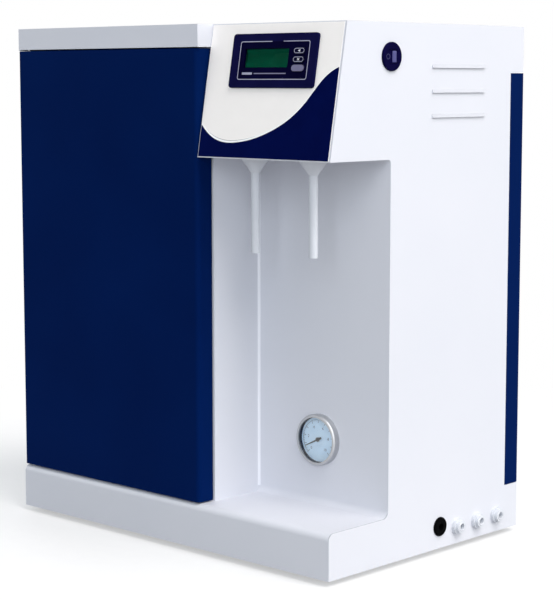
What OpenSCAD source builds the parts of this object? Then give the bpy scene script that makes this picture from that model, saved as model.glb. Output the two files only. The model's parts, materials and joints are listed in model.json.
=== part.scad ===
// Bench water purifier: a sheet-metal cabinet with a dispensing bay at its right front corner,
// a hinged door over the filters and a leaning display head above the bay.
// X runs to the right, Y to the back and Z up, from the middle of the footprint.

/* [Cabinet] */
// Width of the cabinet from side to side
cab_w = 460; // [452:1:500]
// Depth of the cabinet from the apron to the rear cover
cab_d = 305; // [300:1:330]
// Height of the cabinet above its feet
body_h = 534; // [526:1:570]
// Thickness of the painted sheet
sheet_t = 1.5; // [1.2:0.1:1.8]
// Height of the rubber feet
foot_h = 6; // [4:0.5:12]
// Diameter of a rubber foot
foot_d = 26; // [20:1:32]
// Distance from the cabinet's edges to the middle of a foot
foot_inset = 45; // [36:1:55]
// Height of the upturned lips of the base pan
pan_lip = 8; // [6:0.5:8.5]

/* [Dispensing bay] */
// Width of the bay, from its side wall to the cabinet's right side
bay_w = 177.5; // [170:0.5:182]
// Depth of the bay
bay_d = 88.5; // [84:0.5:92]
// Height of the bay's floor above the base
deck_h = 46.5; // [44:0.5:50]
// Height of the head above the bay
head_h = 132; // [128:1:140]
// How far the head's front leans back at its top
head_lean = 23.5; // [16:0.5:26]
// Bend radius at the front and the back of the bay's floor
deck_bend_r = 7; // [4:0.5:8]
// Bend radius between the bay's back wall and the head's underside
ceiling_bend_r = 3.5; // [2:0.5:6]
// Width of the jamb that the door closes against
jamb_w = 20; // [19:0.5:24]

/* [Door] */
// Depth of the door's side returns
door_return = 20; // [19:0.5:22]
// How far the door's face sits behind the apron's face
door_set = 1; // [0.5:0.1:2]
// Gap left round the door
door_gap = 1.5; // [1.2:0.1:2.2]
// Radius of the door's upright edge beside the bay
door_edge_r = 5; // [3:0.5:6]
// Radius of the door's upright edge at the hinge
hinge_edge_r = 2; // [2:0.5:6]
// Height of the white strip above the door
strip_h = 22.6; // [18:0.2:28]
// Distance of the hinge axis from the door's left face
hinge_in_x = 8; // [7:0.5:9]
// Distance of the hinge axis from the door's front face
hinge_in_y = 9; // [8.5:0.5:10]
// Diameter of the hinge pins
hinge_pin_d = 5; // [4:0.5:6]
// Length of the hinge bushes inside the door
hinge_bush = 8; // [5:0.5:12]
// Radial clearance of every turning pin
running_gap = 0.05; // [0.02:0.01:0.1]

/* [Rear cover] */
// Depth of the rear cover's side returns
rear_return = 21.8; // [18:0.2:26]
// Height of the white wall below the rear cover
rear_low = 47.6; // [44:0.2:56]
// Height of the white wall above the rear cover
rear_high = 47.8; // [40:0.2:56]
// Seam between the rear cover and the panels round it
seam = 0.5; // [0.3:0.1:1]
// Diameter of the rear cover's screws
screw_d = 4; // [3:0.5:5]

/* [Display] */
// Bare edge left round the label on the head
label_edge = 1; // [1:0.5:5]
// Thickness of the label
label_t = 0.5; // [0.3:0.1:0.8]
// Width of the display bezel
bezel_w = 112; // [108:0.5:116]
// Height of the display bezel
bezel_h = 52.7; // [52:0.1:55]
// Thickness of the display bezel
bezel_t = 2.4; // [1.8:0.1:3]
// Corner radius of the display bezel
bezel_r = 3; // [1.5:0.5:5]
// Distance of the bezel from the bay's side wall
bezel_in = 34.4; // [28:0.1:40]
// Height of the bezel above the head's lower edge, along the slope
bezel_up = 70; // [66:0.5:71]
// Width of the display window
window_w = 58.5; // [52:0.5:59]
// Height of the display window
window_h = 18.5; // [16:0.5:20]
// Width of a key
key_w = 15.5; // [13:0.5:16]
// Height of a key
key_h = 6.2; // [5:0.1:6.4]
// Distance from key to key
key_pitch = 8.35; // [8.2:0.05:9]
// Travel of a key
key_travel = 0.8; // [0.4:0.1:1]

/* [Switch and louvres] */
// Diameter of the switch's rim
switch_d = 28; // [27:0.5:32]
// Distance of the switch from the apron's face
switch_in = 87.5; // [80:0.5:110]
// Distance of the switch below the top
switch_down = 33; // [28:0.5:45]
// Tilt of the rocker to either side
rocker_tilt = 10; // [6:1:12]
// Length of a louvre
louvre_len = 86; // [60:1:90]
// Distance from louvre to louvre
louvre_pitch = 24.5; // [14:0.5:28]
// Distance of the louvres from the apron's face
louvre_in = 151.2; // [140:0.2:160]
// Distance of the top louvre below the top
louvre_down = 43.5; // [30:0.5:60]

/* [Gauge] */
// Diameter of the gauge's bezel
gauge_d = 53; // [52.5:0.5:58]
// Diameter of the gauge's visible dial
dial_d = 46.5; // [40:0.5:47]
// Distance of the gauge from the bay's side wall
gauge_in = 86.5; // [70:0.5:100]
// Height of the gauge above the bay's floor
gauge_up = 67.5; // [62:0.5:72]
// Angle of the needle below the horizontal at rest
needle_drop = 26; // [10:1:45]

/* [Outlets] */
// Distance between the two outlets
outlet_pitch = 78; // [70:1:84]
// Distance of the outlets from the apron's face
outlet_in = 31.8; // [30:0.2:36]
// Outer diameter of an outlet's tube
outlet_d = 8.8; // [7:0.1:10]
// Bore of an outlet
outlet_bore = 5; // [3:0.5:5.5]
// Length of an outlet below the head
outlet_len = 95; // [70:1:120]
// Diameter of an outlet's cone at the head
cone_d = 30; // [22:0.5:32]
// Height of an outlet's cone
cone_h = 15; // [10:0.5:20]

/* [Side fittings] */
// Diameter of a tube port's collar
port_d = 17; // [14.5:0.5:18]
// How far a tube port stands out of the side
port_out = 7; // [6.5:0.5:12]
// Distance from port to port
port_pitch = 33.5; // [32:0.5:36]
// Distance of the rearmost port from the back
port_back = 37.5; // [36:0.5:40]
// Height of the ports above the base
port_up = 18.5; // [18:0.5:25]
// Outer diameter of the water tubes
tube_d = 6.35; // [6:0.05:6.5]
// Wall of the water tubes
tube_wall = 1.1; // [0.8:0.1:1.4]
// Bend radius of the water tubes
tube_bend_r = 14; // [12:0.5:14]
// Diameter of the cable gland
gland_d = 20; // [19:0.5:22]
// How far the gland stands out of the side
gland_out = 2.5; // [2.2:0.1:6]
// Height of the gland above the base
gland_up = 23; // [20:0.5:25]
// Diameter of the hole for the mains cable
cable_d = 7.5; // [6:0.5:8]
// Distance of the gland from the front port
gland_pitch = 29.2; // [28:0.2:36]

/* [Filters and columns] */
// Diameter of a filter cartridge
filter_d = 70; // [60:1:72]
// Length of a filter cartridge
filter_len = 245; // [200:1:255]
// Diameter of the membrane housing and the polishing columns
column_d = 52; // [46:1:58]
// Thickness of the mounting plate
plate_t = 2; // [1.5:0.1:3]

/* [Pump] */
// Diameter of the pump motor
motor_d = 68; // [60:1:70]
// Length of the pump motor
motor_len = 100; // [80:1:105]
// Diameter of the pump shaft
shaft_d = 8; // [6:0.5:10]
// Height of the rubber pump mounts
mount_h = 8; // [6:0.5:10]

/* [Hidden] */
$fn = 64;
cut = 1;
light = 0.15;

white = [0.90, 0.91, 0.93];
blue = [0.02, 0.13, 0.36];
navy = [0.01, 0.03, 0.22];
black = [0.05, 0.05, 0.06];
chrome = [0.80, 0.82, 0.84];
steel = [0.62, 0.64, 0.66];
board_green = [0.05, 0.30, 0.16];
water_blue = [0.55, 0.72, 0.88];

// Spacings are kept to half millimetres
function half_mm(v) = floor(2 * v) / 2;

// Cabinet planes
side_out = max(port_out, gland_out);
x_l = -(cab_w + side_out) / 2;
x_r = x_l + cab_w;
x_in = x_l + sheet_t;
x_ri = x_r - sheet_t;
y_f = -cab_d / 2;
y_b = cab_d / 2;
z_b = foot_h;
z_t = z_b + body_h;
z_floor = z_b + sheet_t;
z_deck = z_b + deck_h;
z_head = z_t - head_h;
z_strip = z_t - strip_h;
x_bay = x_r - bay_w;
x_div = x_bay - sheet_t;
y_bay = y_f + bay_d;
y_door = y_f + door_set;
y_jamb = y_door + door_return + door_gap;
z_rc0 = z_b + rear_low;
z_rc1 = z_t - rear_high;
y_rr = y_b - rear_return;

// Leaning head
lean = atan(head_lean / head_h);
slant = norm([head_lean, head_h]);
skin = sheet_t / cos(lean);
bite = sheet_t * tan(lean);
y_ht = y_f + head_lean;
cheek_lap = 25;

// Feet
foot_stem_d = 6;
foot_head_d = 9;
foot_head_h = 2;
foot_taper = 2;

// Door
x_dr = x_bay - door_gap;
z_d0 = z_deck + door_gap;
z_d1 = z_strip - door_gap;
hinge_x = x_l + hinge_in_x;
hinge_y = y_door + hinge_in_y;
pin_r = hinge_pin_d / 2;
bush_wall = 3;
bush_r = pin_r + bush_wall;
washer_play = 0.2;
washer_h = door_gap - washer_play;
lip_gap = 0.4;
z_lip = z_d1 + lip_gap;
pin_head_h = 2;
pin_reach = sheet_t + hinge_bush;
catch_w = 8;
catch_h = 44;
strike_h = 50;
strike_t = 1.5;
strike_edge = 1;
strike_gap = 1;
catch_gap = 0.3;
catch_x = x_dr - door_edge_r - strike_gap - strike_edge - catch_w;
z_catch = (z_d0 + z_d1) / 2;

// Rear cover screws
tab_h = 14;
screw_inset = 40;
screw_x = [x_l + screw_inset, (x_l + x_r) / 2, x_r - screw_inset];
screw_z = [z_rc0 + tab_h / 2, z_rc1 - tab_h / 2];
screw_head_h = 1.8;
screw_tip = 4;

// Display stack, counted from the label's face
display_lip = 6;
window_in = 17.4;
window_up = 19.7;
window_lap = 1.5;
window_t = 1.2;
module_t = 3;
module_w = 60;
module_h = 26;
board_t = 1.6;
board_edge = 4;
boss_in = 10;
boss_r = 3;
board_screw_r = 1.15;
board_screw_head = 1.5;
key_in = 90.1;
key_up = 18.8;
key_gap = 0.3;
key_lip = 0.6;
key_lip_t = 1.2;
key_proud = 0.9;
stack_t = window_t + module_t;
tact_w = 5;
tact_gap = 0.1;
boss_spots = [for (s = [boss_in, bezel_w - boss_in]) for (t = [boss_in, bezel_h - boss_in]) [s, t]];

// Control board and power supply on the divider
standoff_h = 10;
standoff_r = 3;
ctrl_w = 120;
ctrl_h = 84;
ctrl_in = 20;
ctrl_down = 10;
ctrl_y = y_bay + ctrl_in;
ctrl_z = z_head - ctrl_down;
ctrl_hole = 6;
relay = [16, 20, 16];
relay_n = 3;
relay_pitch = 30;
relay_in = 18;
relay_up = 14;
chip = [3, 26, 26];
chip_in = 40;
plug_block = [10, 24, 12];
plug_in = 84;
chip_up = 46;
psu_w = 98;
psu_h = 160;
psu_t = 38;
psu_in = 40;
psu_down = 30;
psu_y = y_bay + psu_in;
psu_z = z_head - psu_down - psu_h;

// Rocker switch
switch_y = y_f + switch_in;
switch_z = z_t - switch_down;
switch_rim_lap = 1.5;
switch_body_r = switch_d / 2 - switch_rim_lap;
switch_rim_t = 2.4;
rim_edge_r = 1;
switch_depth = 20;
terminal = [6, 0.8, 9];
terminal_out = 8;
terminal_pitch = 5;
rocker_l = 19;
rocker_w = 13;
rocker_end = 4;
rocker_dish = 1.6;
rocker_toe = 1;
rocker_keel = 4;
rocker_pivot = 2;
rocker_pin_r = 1.5;
rocker_pin_l = 17;
pocket_end = 1;
pocket_side = 0.3;
pocket_depth = 9;

// Louvres
louvre_n = 3;
louvre_slot = 3;
louvre_sill = 0.2;
louvre_out = 1.8;
louvre_t = 0.8;

// Gauge, counted outwards from the bay's back wall
gauge_x = x_bay + gauge_in;
gauge_z = z_deck + gauge_up;
case_r = 21;
case_wall = 3.5;
case_depth = 26;
case_lip_r = 24.5;
case_lip_t = 1.2;
case_post_r = 6;
dial_t = 0.8;
lens_t = 1.4;
lens_hold = 1.2;
lens_r = dial_d / 2 + lens_hold;
fit_gap = 0.2;
dial_hold = 0.6;
z_dial = case_lip_t;
pointer_gap = 0.8;
z_pointer = z_dial + dial_t + pointer_gap;
pointer_t = 0.5;
pointer_short = 4.25;
pointer_l = dial_d / 2 - pointer_short;
pointer_tail = 5;
pointer_tail_w = 2.2;
pointer_tip_w = 0.5;
pointer_hub_t = 1.1;
lens_gap = 1.9;
lens_lip = 1.4;
z_lens = z_pointer + pointer_t + lens_gap;
bezel_front = z_lens + lens_t + lens_lip;
bezel_roll_r = 2;
arbor_r = 0.9;
arbor_hub_r = 2.2;
arbor_in = 8;
clamp_t = 4;
clamp_r = 27;

// Outlets
outlet_y = y_f + outlet_in;
outlet_mid = x_bay + bay_w / 2;
product_x = outlet_mid - outlet_pitch / 2;
permeate_x = outlet_mid + outlet_pitch / 2;
shank_r = 7;
shank_h = 22;
nut_h = 6;
nut_r = 12.5;
nut_gap = 0.1;

// Push-in fittings and the lines they serve
tube_r = tube_d / 2;
tube_in = 10;
fit_len = 14;
fit_r = 6.5;
port_z = z_b + port_up;
gland_z = z_b + gland_up;
tank_y = y_b - port_back;
drain_y = tank_y - port_pitch;
feed_y = drain_y - port_pitch;
gland_y = feed_y - gland_pitch;
port_r = port_d / 2;
port_collar_t = 3.5;
port_step = 2;
port_shank_r = 6;
port_shank = 22;
lock_nut_t = 4;
port_nut_r = 9.5;
gland_shank_r = 7.5;
gland_shank = 14;
gland_dome_r = 2;
gland_nut_r = 11;

// Mounting plate and the filters on its front, which share its width evenly
y_plate = feed_y - tube_bend_r - fit_len;
y_back = y_plate + plate_t;
filter_n = 3;
filter_off = 7;
filter_end_r = 8;
collar_h = 12;
collar_out = 3;
collar_down = 24;
collar_r = filter_d / 2 + collar_out;
filter_gap = half_mm((x_div - x_in - 2 * collar_r * filter_n) / (filter_n + 1));
filter_y = y_plate - filter_d / 2 - filter_off;
filter_x = [for (i = [0:filter_n - 1]) x_in + filter_gap + collar_r + (2 * collar_r + filter_gap) * i];
manifold_h = 45;
manifold_down = 40;
z_m1 = z_strip - manifold_down;
z_m0 = z_m1 - manifold_h;
manifold_d = 60;
manifold_edge = 6;
cup_drop = 8;
feed_in = 16;
feed_x = x_in + feed_in;
feed_z = (z_m0 + z_m1) / 2;

// Pump on the deck
pump_side = 64;
pump_head_l = 48;
pump_x = (filter_x[1] + filter_x[2]) / 2;
pump_back = 4;
pump_y = y_plate - pump_side / 2 - fit_len - pump_back;
bracket_t = 2;
saddle_h = 4;
pump_z = z_deck + mount_h + bracket_t + saddle_h + motor_d / 2;
motor_x = pump_x - pump_head_l / 2 - motor_len;
bracket_end = 10;
bracket_x = motor_x - bracket_end;
bracket_l = motor_len + 2 * bracket_end;
saddle_l = 20;
saddle_in = 8;
bracket_w = 76;
mount_r = 7;
mount_edge = 12;
shaft_r = shaft_d / 2;
hub_r = 14;
hub_off = 1.5;
hub_l = 12;
cavity_r = 20;
cavity_l = 20;
shaft_in = 60;
shaft_end = 2;
hub_in = 4;
motor_boss_l = 6;
motor_boss_d = 44;

// Columns on the back of the mounting plate, spread to the left of the membrane
column_y = drain_y;
column_r = column_d / 2;
membrane_x = pump_x;
cap_wall = 4;
cap_r = column_r + cap_wall;
cap_drop = 25;
cap_h = 60;
z_cap0 = pump_z - cap_drop;
z_cap1 = z_cap0 + cap_h;
column_rise = 5;
z_col1 = z_head + column_rise;
neck_h = 10;
membrane_neck_wall = 1;
column_neck_wall = 3;
membrane_neck_r = fit_r + membrane_neck_wall;
column_neck_r = fit_r + column_neck_wall;
socket_root = 6;
clip_h = 14;
clip_wall = 3;
clip_r = column_r + light + clip_wall;
column_gap = half_mm((membrane_x - cap_r - x_in - 4 * clip_r) / 3);
polish_x = [membrane_x - cap_r - column_gap - clip_r, x_in + column_gap + clip_r];
clip_mouth = 38;
clip_foot = 16;
clip_up = 40;
clip_down = 70;
clip_z = [z_cap1 + clip_up, z_col1 - clip_down];
tank_off = 17;

// Valves behind the feed and drain ports
valve_l = 40;
valve_w = 24;
valve_in = 60;
valve_foot = 10;
valve_x1 = x_r - valve_in;
valve_x0 = valve_x1 - valve_l;
coil_r = 13;
coil_h = 30;

// Heights of the upper tube runs and the tee
run_lead = 4;
run_gap = 15;
tee_lead = 9;
low_lead = 2;
jog_down = 158;
z_link = z_col1 + neck_h + fit_len + tube_bend_r + run_lead;
z_product = z_link + 2 * run_gap;
z_tank = z_product + run_gap;
z_tee = z_head + shank_h + tube_bend_r + tee_lead;
z_low_link = z_cap0 - fit_len - tube_bend_r - low_lead;
z_jog = z_head - jog_down;
tee_half = 16;
tee_seat = max(tee_half - tube_in, fit_r) + fit_gap;
tee_y = column_y - tank_off;

// Helpers: flat outlines carried along an axis
module along_x(x0, len) translate([x0, 0, 0]) rotate([90, 0, 90]) linear_extrude(len) children();
module along_z(z0, len) translate([0, 0, z0]) linear_extrude(len) children();
module box(a, b) translate(a) cube(b - a);

// Turns a shape that points up so that it points along d
module point(p, d) translate(p) rotate([0, acos(d[2]), atan2(d[1], d[0])]) children();

// The sharp corner that a rounded edge leaves out
module cove(r) difference() {
    square(r);
    translate([r, r]) circle(r);
}

module rounded_plate(w, h, r) {
    translate([r, 0]) square([w - 2 * r, h]);
    translate([0, r]) square([w, h - 2 * r]);
    for (s = [r, w - r]) for (t = [r, h - r]) translate([s, t]) circle(r);
}

module stadium(w, h) {
    square([w - h, h], center = true);
    for (s = [-1, 1]) translate([s * (w - h) / 2, 0]) circle(h / 2);
}

module ring(r_out, r_in, h) difference() {
    cylinder(r = r_out, h = h);
    translate([0, 0, -cut]) cylinder(r = r_in, h = h + 2 * cut);
}

module hex_ring(r_out, r_in, h) difference() {
    cylinder(r = r_out, h = h, $fn = 6);
    translate([0, 0, -cut]) cylinder(r = r_in, h = h + 2 * cut);
}

// A push-in socket that stands on a face, with its blind hole for a tube
module socket(p, d) point(p, d) difference() {
    cylinder(r = fit_r, h = fit_len);
    translate([0, 0, fit_len - tube_in]) cylinder(r = tube_r + running_gap, h = tube_in + cut);
}

// Where a tube ends inside the socket that stands at p
function seat(p, d) = p + d * (fit_len - tube_in);

function heading(a, b) = (b - a) / norm(b - a);

// A hollow tube along straight legs, with a round bend at each inner corner
module tube(pts) {
    last = len(pts) - 1;
    for (i = [0:last - 1]) {
        d = heading(pts[i], pts[i + 1]);
        a = pts[i] + d * (i > 0 ? tube_bend_r : 0);
        b = pts[i + 1] - d * (i < last - 1 ? tube_bend_r : 0);
        point(a, d) ring(tube_r, tube_r - tube_wall, norm(b - a));
    }
    for (i = [1:1:last - 1]) bend(pts[i], heading(pts[i - 1], pts[i]), heading(pts[i], pts[i + 1]));
}

module bend(p, d1, d2) {
    c = p + (d2 - d1) * tube_bend_r;
    n = cross(d1, d2);
    multmatrix([for (k = [0:2]) [-d2[k], d1[k], n[k], c[k]]])
        rotate_extrude(angle = 90) translate([tube_bend_r, 0]) difference() {
            circle(tube_r);
            circle(tube_r - tube_wall);
        }
}

// Frames of the head's face, the display, the bay's back wall and the cabinet's right side
module on_face() translate([x_bay, y_f, z_head]) rotate([90 - lean, 0, 0]) children();
module on_display() on_face() translate([bezel_in, bezel_up, label_t]) children();
module on_wall() translate([gauge_x, y_bay, gauge_z]) rotate([90, 0, 0]) children();
module on_side(y, z) translate([x_r, y, z]) rotate([0, 90, 0]) children();

// The bay seen from the right, grown by e on every side that has a sheet
module bay_void(e) difference() {
    translate([y_f - cut, z_deck - e]) square([bay_d + e + cut, z_head - z_deck + 2 * e]);
    translate([y_bay + e, z_deck - e]) rotate(90) cove(deck_bend_r + e);
    translate([y_bay + e, z_head + e]) rotate(180) cove(ceiling_bend_r + e);
}

module deck_edge() translate([y_f, z_deck]) rotate(-90) cove(deck_bend_r);

module rear_notch() translate([y_rr - seam, z_rc0]) square([rear_return + seam + cut, z_rc1 - z_rc0]);

// Cabinet
module base_pan() color(white) difference() {
    union() {
        box([x_in, y_f + sheet_t, z_b], [x_ri, y_b, z_floor]);
        box([x_in, y_f + sheet_t, z_b], [x_ri, y_f + 2 * sheet_t, z_b + pan_lip]);
        for (x = [x_in, x_ri - sheet_t]) box([x, y_f + sheet_t, z_b], [x + sheet_t, y_b, z_b + pan_lip]);
        box([x_in, y_b - sheet_t, z_b], [x_ri, y_b, z_rc0]);
        for (x = screw_x) box([x - tab_h, y_b - 2 * sheet_t, z_rc0 - tab_h],
            [x + tab_h, y_b - sheet_t, z_rc0 + tab_h]);
    }
    for (x = screw_x) cover_hole(x, screw_z[0], screw_d / 2 + nut_gap);
    foot_spots() translate([0, 0, -cut]) cylinder(d = foot_stem_d, h = sheet_t + 2 * cut);
}

module foot_spots() for (x = [x_l + foot_inset, x_r - foot_inset])
    for (y = [y_f + foot_inset, y_b - foot_inset]) translate([x, y, z_b]) children();

module cover_hole(x, z, r) translate([x, y_b + cut, z]) rotate([90, 0, 0])
    cylinder(r = r, h = 2 * sheet_t + 2 * cut);

module front_apron() color(white) {
    along_x(x_in, x_ri - x_in) difference() {
        translate([y_f, z_b]) square([bay_d - deck_bend_r, deck_h]);
        deck_edge();
        difference() {
            translate([y_f + sheet_t, z_b - cut]) square([bay_d, deck_h - sheet_t + cut]);
            translate([y_f + sheet_t, z_deck - sheet_t]) rotate(-90) cove(deck_bend_r - sheet_t);
        }
    }
    box([x_in, y_bay - deck_bend_r, z_deck - sheet_t], [x_div, y_plate, z_deck]);
}

// Its front edge hangs over the door's top, which closes the gap there
module left_side_panel() color(white) along_x(x_l, sheet_t) difference() {
    polygon([[y_f, z_b], [y_b, z_b], [y_b, z_t], [y_door, z_t], [y_door, z_lip],
        [y_jamb, z_lip], [y_jamb, z_deck], [y_f, z_deck]]);
    deck_edge();
    rear_notch();
}

module right_side_panel() color(white) {
    difference() {
        along_x(x_ri, sheet_t) difference() {
            polygon([[y_f, z_b], [y_b, z_b], [y_b, z_t], [y_ht, z_t], [y_f, z_head]]);
            bay_void(0);
            deck_edge();
            rear_notch();
        }
        side_hole(switch_y, switch_z, switch_body_r + fit_gap);
        side_hole(gland_y, gland_z, gland_shank_r + fit_gap);
        for (y = [feed_y, drain_y, tank_y]) side_hole(y, port_z, port_shank_r + fit_gap);
        louvres() translate([-sheet_t - cut, louvre_t, -louvre_sill])
            cube([sheet_t + 2 * cut, louvre_len - 2 * louvre_t, louvre_slot + louvre_sill]);
    }
    louvres() louvre_hood();
}

module side_hole(y, z, r) on_side(y, z) translate([0, 0, -sheet_t - cut])
    cylinder(r = r, h = sheet_t + 2 * cut);

module louvres() for (i = [0:louvre_n - 1])
    translate([x_r, y_f + louvre_in, z_t - louvre_down - louvre_pitch * i]) children();

// A pressed hood that hangs over its slot, thickest where it meets the panel, with a cheek at either end
module louvre_hood() translate([0, louvre_len, 0]) rotate([90, 0, 0]) {
    linear_extrude(louvre_len) polygon([[-sheet_t, louvre_slot], [-sheet_t, louvre_slot + louvre_t],
        [0, louvre_slot + louvre_t], [louvre_out, louvre_t], [louvre_out, 0], [0, louvre_slot]]);
    for (end = [0, louvre_len - louvre_t]) translate([0, 0, end]) linear_extrude(louvre_t)
        polygon([[0, louvre_slot], [louvre_out, louvre_t], [louvre_out, 0], [0, 0]]);
}

module bay_back_panel() color(white) difference() {
    along_x(x_bay, x_ri - x_bay) difference() {
        bay_void(sheet_t);
        bay_void(0);
        translate([y_f - 2 * cut, z_deck - 2 * sheet_t]) square([bay_d - deck_bend_r + 2 * cut, deck_h]);
        translate([y_f - 2 * cut, z_head - cut]) square([skin + bite + 2 * cut, sheet_t + 2 * cut]);
    }
    for (x = [product_x, permeate_x]) translate([x, outlet_y, z_head - cut])
        cylinder(r = shank_r + nut_gap, h = sheet_t + 2 * cut);
    on_wall() translate([0, 0, -sheet_t - cut]) cylinder(r = case_r + fit_gap, h = sheet_t + 2 * cut);
}

module bay_side_wall() color(white) {
    box([x_div, y_jamb, z_deck], [x_bay, y_bay, z_strip]);
    box([x_bay - jamb_w, y_jamb, z_deck], [x_bay, y_jamb + sheet_t, z_strip]);
}

module display_cut(depth) translate([display_lip, display_lip, -depth])
    cube([bezel_w - 2 * display_lip, bezel_h - 2 * display_lip, depth + cut]);

module head_panel() color(white) difference() {
    union() {
        along_x(x_bay, x_ri - x_bay)
            polygon([[y_f, z_head], [y_f + skin, z_head], [y_ht + skin, z_t], [y_ht, z_t]]);
        along_x(x_bay, sheet_t)
            polygon([[y_f + skin, z_head + sheet_t], [y_jamb + cheek_lap, z_head + sheet_t],
                [y_jamb + cheek_lap, z_t - sheet_t], [y_ht + skin - bite, z_t - sheet_t]]);
    }
    on_display() display_cut(sheet_t + label_t + cut);
}

module top_cover() color(white) difference() {
    union() {
        box([x_in, y_door, z_t - sheet_t], [x_bay, y_b, z_t]);
        box([x_bay, y_ht + skin, z_t - sheet_t], [x_ri, y_b, z_t]);
        box([x_in, y_door, z_strip], [x_bay, y_door + sheet_t, z_t]);
        box([x_div, y_door, z_strip], [x_bay, y_ht + skin, z_t]);
        box([x_in, y_door, z_strip], [x_bay, y_jamb + cheek_lap, z_strip + sheet_t]);
        box([x_in, y_b - sheet_t, z_rc1], [x_ri, y_b, z_t]);
        for (x = screw_x) box([x - tab_h, y_b - 2 * sheet_t, z_rc1 - tab_h],
            [x + tab_h, y_b - sheet_t, z_rc1 + tab_h]);
    }
    for (x = screw_x) cover_hole(x, screw_z[1], screw_d / 2 + nut_gap);
    translate([hinge_x, hinge_y, z_strip - cut]) cylinder(r = pin_r + running_gap, h = sheet_t + 2 * cut);
}

module rear_cover() color(blue) difference() {
    union() {
        box([x_l, y_b - sheet_t, z_rc0 + seam], [x_r, y_b, z_rc1 - seam]);
        for (x = [x_l, x_ri]) box([x, y_rr, z_rc0 + seam], [x + sheet_t, y_b, z_rc1 - seam]);
    }
    for (x = screw_x) for (z = screw_z) cover_hole(x, z, screw_d / 2 + nut_gap);
}

module cover_screws() color(steel) for (x = screw_x) for (z = screw_z)
    translate([x, y_b + screw_head_h, z]) rotate([90, 0, 0]) {
        cylinder(d = 2 * screw_d, h = screw_head_h);
        cylinder(d = screw_d, h = screw_head_h + 2 * sheet_t + screw_tip);
    }

module divider_panel() color(white) difference() {
    box([x_div, y_bay, z_floor], [x_bay, y_b - 2 * sheet_t, z_t - sheet_t]);
    for (h = [[feed_y, port_z], [drain_y, port_z], [column_y, gauge_z], [column_y, z_product],
        [tee_y, z_tank]]) translate([x_div - cut, h[0], h[1]]) rotate([0, 90, 0])
        cylinder(r = tube_r + cut, h = sheet_t + 2 * cut);
}

module mounting_plate() color(white) difference() {
    box([x_in, y_plate, z_floor], [x_div, y_back, z_strip]);
    box([x_in - cut, y_plate - cut, z_floor - cut], [x_in + sheet_t, y_back + cut, z_b + pan_lip]);
    plate_hole(feed_x, feed_z, fit_r + nut_gap);
    plate_hole(membrane_x, pump_z, tube_r + cut);
}

module plate_hole(x, z, r) translate([x, y_plate - cut, z]) rotate([-90, 0, 0])
    cylinder(r = r, h = plate_t + 2 * cut);

module feet() color(black) foot_spots() {
    translate([0, 0, -foot_h]) cylinder(d1 = foot_d - foot_taper, d2 = foot_d, h = foot_h);
    cylinder(d = foot_stem_d - 2 * nut_gap, h = sheet_t);
    translate([0, 0, sheet_t]) cylinder(d = foot_head_d, h = foot_head_h);
}

// Door
module door_plan(e) difference() {
    translate([x_l + e, y_door + e]) square([x_dr - x_l - 2 * e, door_return - e]);
    translate([x_l + e, y_door + e]) cove(hinge_edge_r - e);
    translate([x_dr - e, y_door + e]) rotate(90) cove(door_edge_r - e);
}

module door_panel() color(blue) difference() {
    union() {
        along_z(z_d0, z_d1 - z_d0) difference() {
            door_plan(0);
            translate([0, cut]) door_plan_open();
        }
        for (z = [z_d0, z_d1 - sheet_t]) along_z(z, sheet_t) door_plan(0);
        for (z = [z_d0, z_d1 - pin_reach]) translate([hinge_x, hinge_y, z])
            cylinder(r = bush_r, h = pin_reach);
    }
    translate([hinge_x, hinge_y, z_d0 - cut]) cylinder(r = pin_r + running_gap, h = pin_reach + 2 * cut);
    translate([hinge_x, hinge_y, z_d1 - pin_reach - cut])
        cylinder(r = pin_r + running_gap, h = pin_reach + 2 * cut);
}

// The hollow behind the door's face, open to the back
module door_plan_open() {
    translate([0, -cut]) door_plan(sheet_t);
    translate([x_l + sheet_t, y_door + door_return / 2]) square([x_dr - x_l - 2 * sheet_t, door_return]);
}

module hinge_pins() color(steel) {
    translate([hinge_x, hinge_y, z_deck]) {
        cylinder(r = pin_r, h = door_gap + pin_reach);
        cylinder(r = bush_r, h = washer_h);
    }
    translate([hinge_x, hinge_y, z_d1 - pin_reach]) cylinder(r = pin_r, h = pin_reach + door_gap + sheet_t);
    translate([hinge_x, hinge_y, z_strip + sheet_t]) cylinder(r = bush_r, h = pin_head_h);
}

module door_magnet() color(black)
    box([catch_x, y_door + sheet_t + strike_t + catch_gap, z_catch - catch_h / 2],
        [catch_x + catch_w, y_jamb, z_catch + catch_h / 2]);

module strike_plate() color(steel)
    box([catch_x - strike_edge, y_door + sheet_t, z_catch - strike_h / 2],
        [catch_x + catch_w + strike_edge, y_door + sheet_t + strike_t, z_catch + strike_h / 2]);

// Display
module head_label() color([0.92, 0.92, 0.91]) difference() {
    on_face() translate([label_edge, label_edge, 0])
        cube([bay_w - sheet_t - 2 * label_edge, slant - 2 * label_edge, label_t]);
    on_display() display_cut(label_t + cut);
}

module display_bezel() color(navy) on_display() difference() {
    union() {
        linear_extrude(bezel_t) rounded_plate(bezel_w, bezel_h, bezel_r);
        for (p = boss_spots) translate([p[0], p[1], -stack_t]) cylinder(r = boss_r, h = stack_t);
    }
    translate([window_in, window_up, -cut]) cube([window_w, window_h, bezel_t + 2 * cut]);
    for (i = [0:2]) key_spot(i) translate([0, 0, -cut]) linear_extrude(bezel_t + 2 * cut)
        stadium(key_w + 2 * key_gap, key_h + 2 * key_gap);
    for (p = boss_spots) translate([p[0], p[1], -stack_t - cut])
        cylinder(r = board_screw_r + nut_gap, h = stack_t + cut);
}

module key_spot(i) translate([key_in, key_up + key_pitch * i, 0]) children();

module display_window() color(board_green, 0.6) on_display()
    translate([window_in - window_lap, window_up - window_lap, -window_t])
        cube([window_w + 2 * window_lap, window_h + 2 * window_lap, window_t]);

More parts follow.
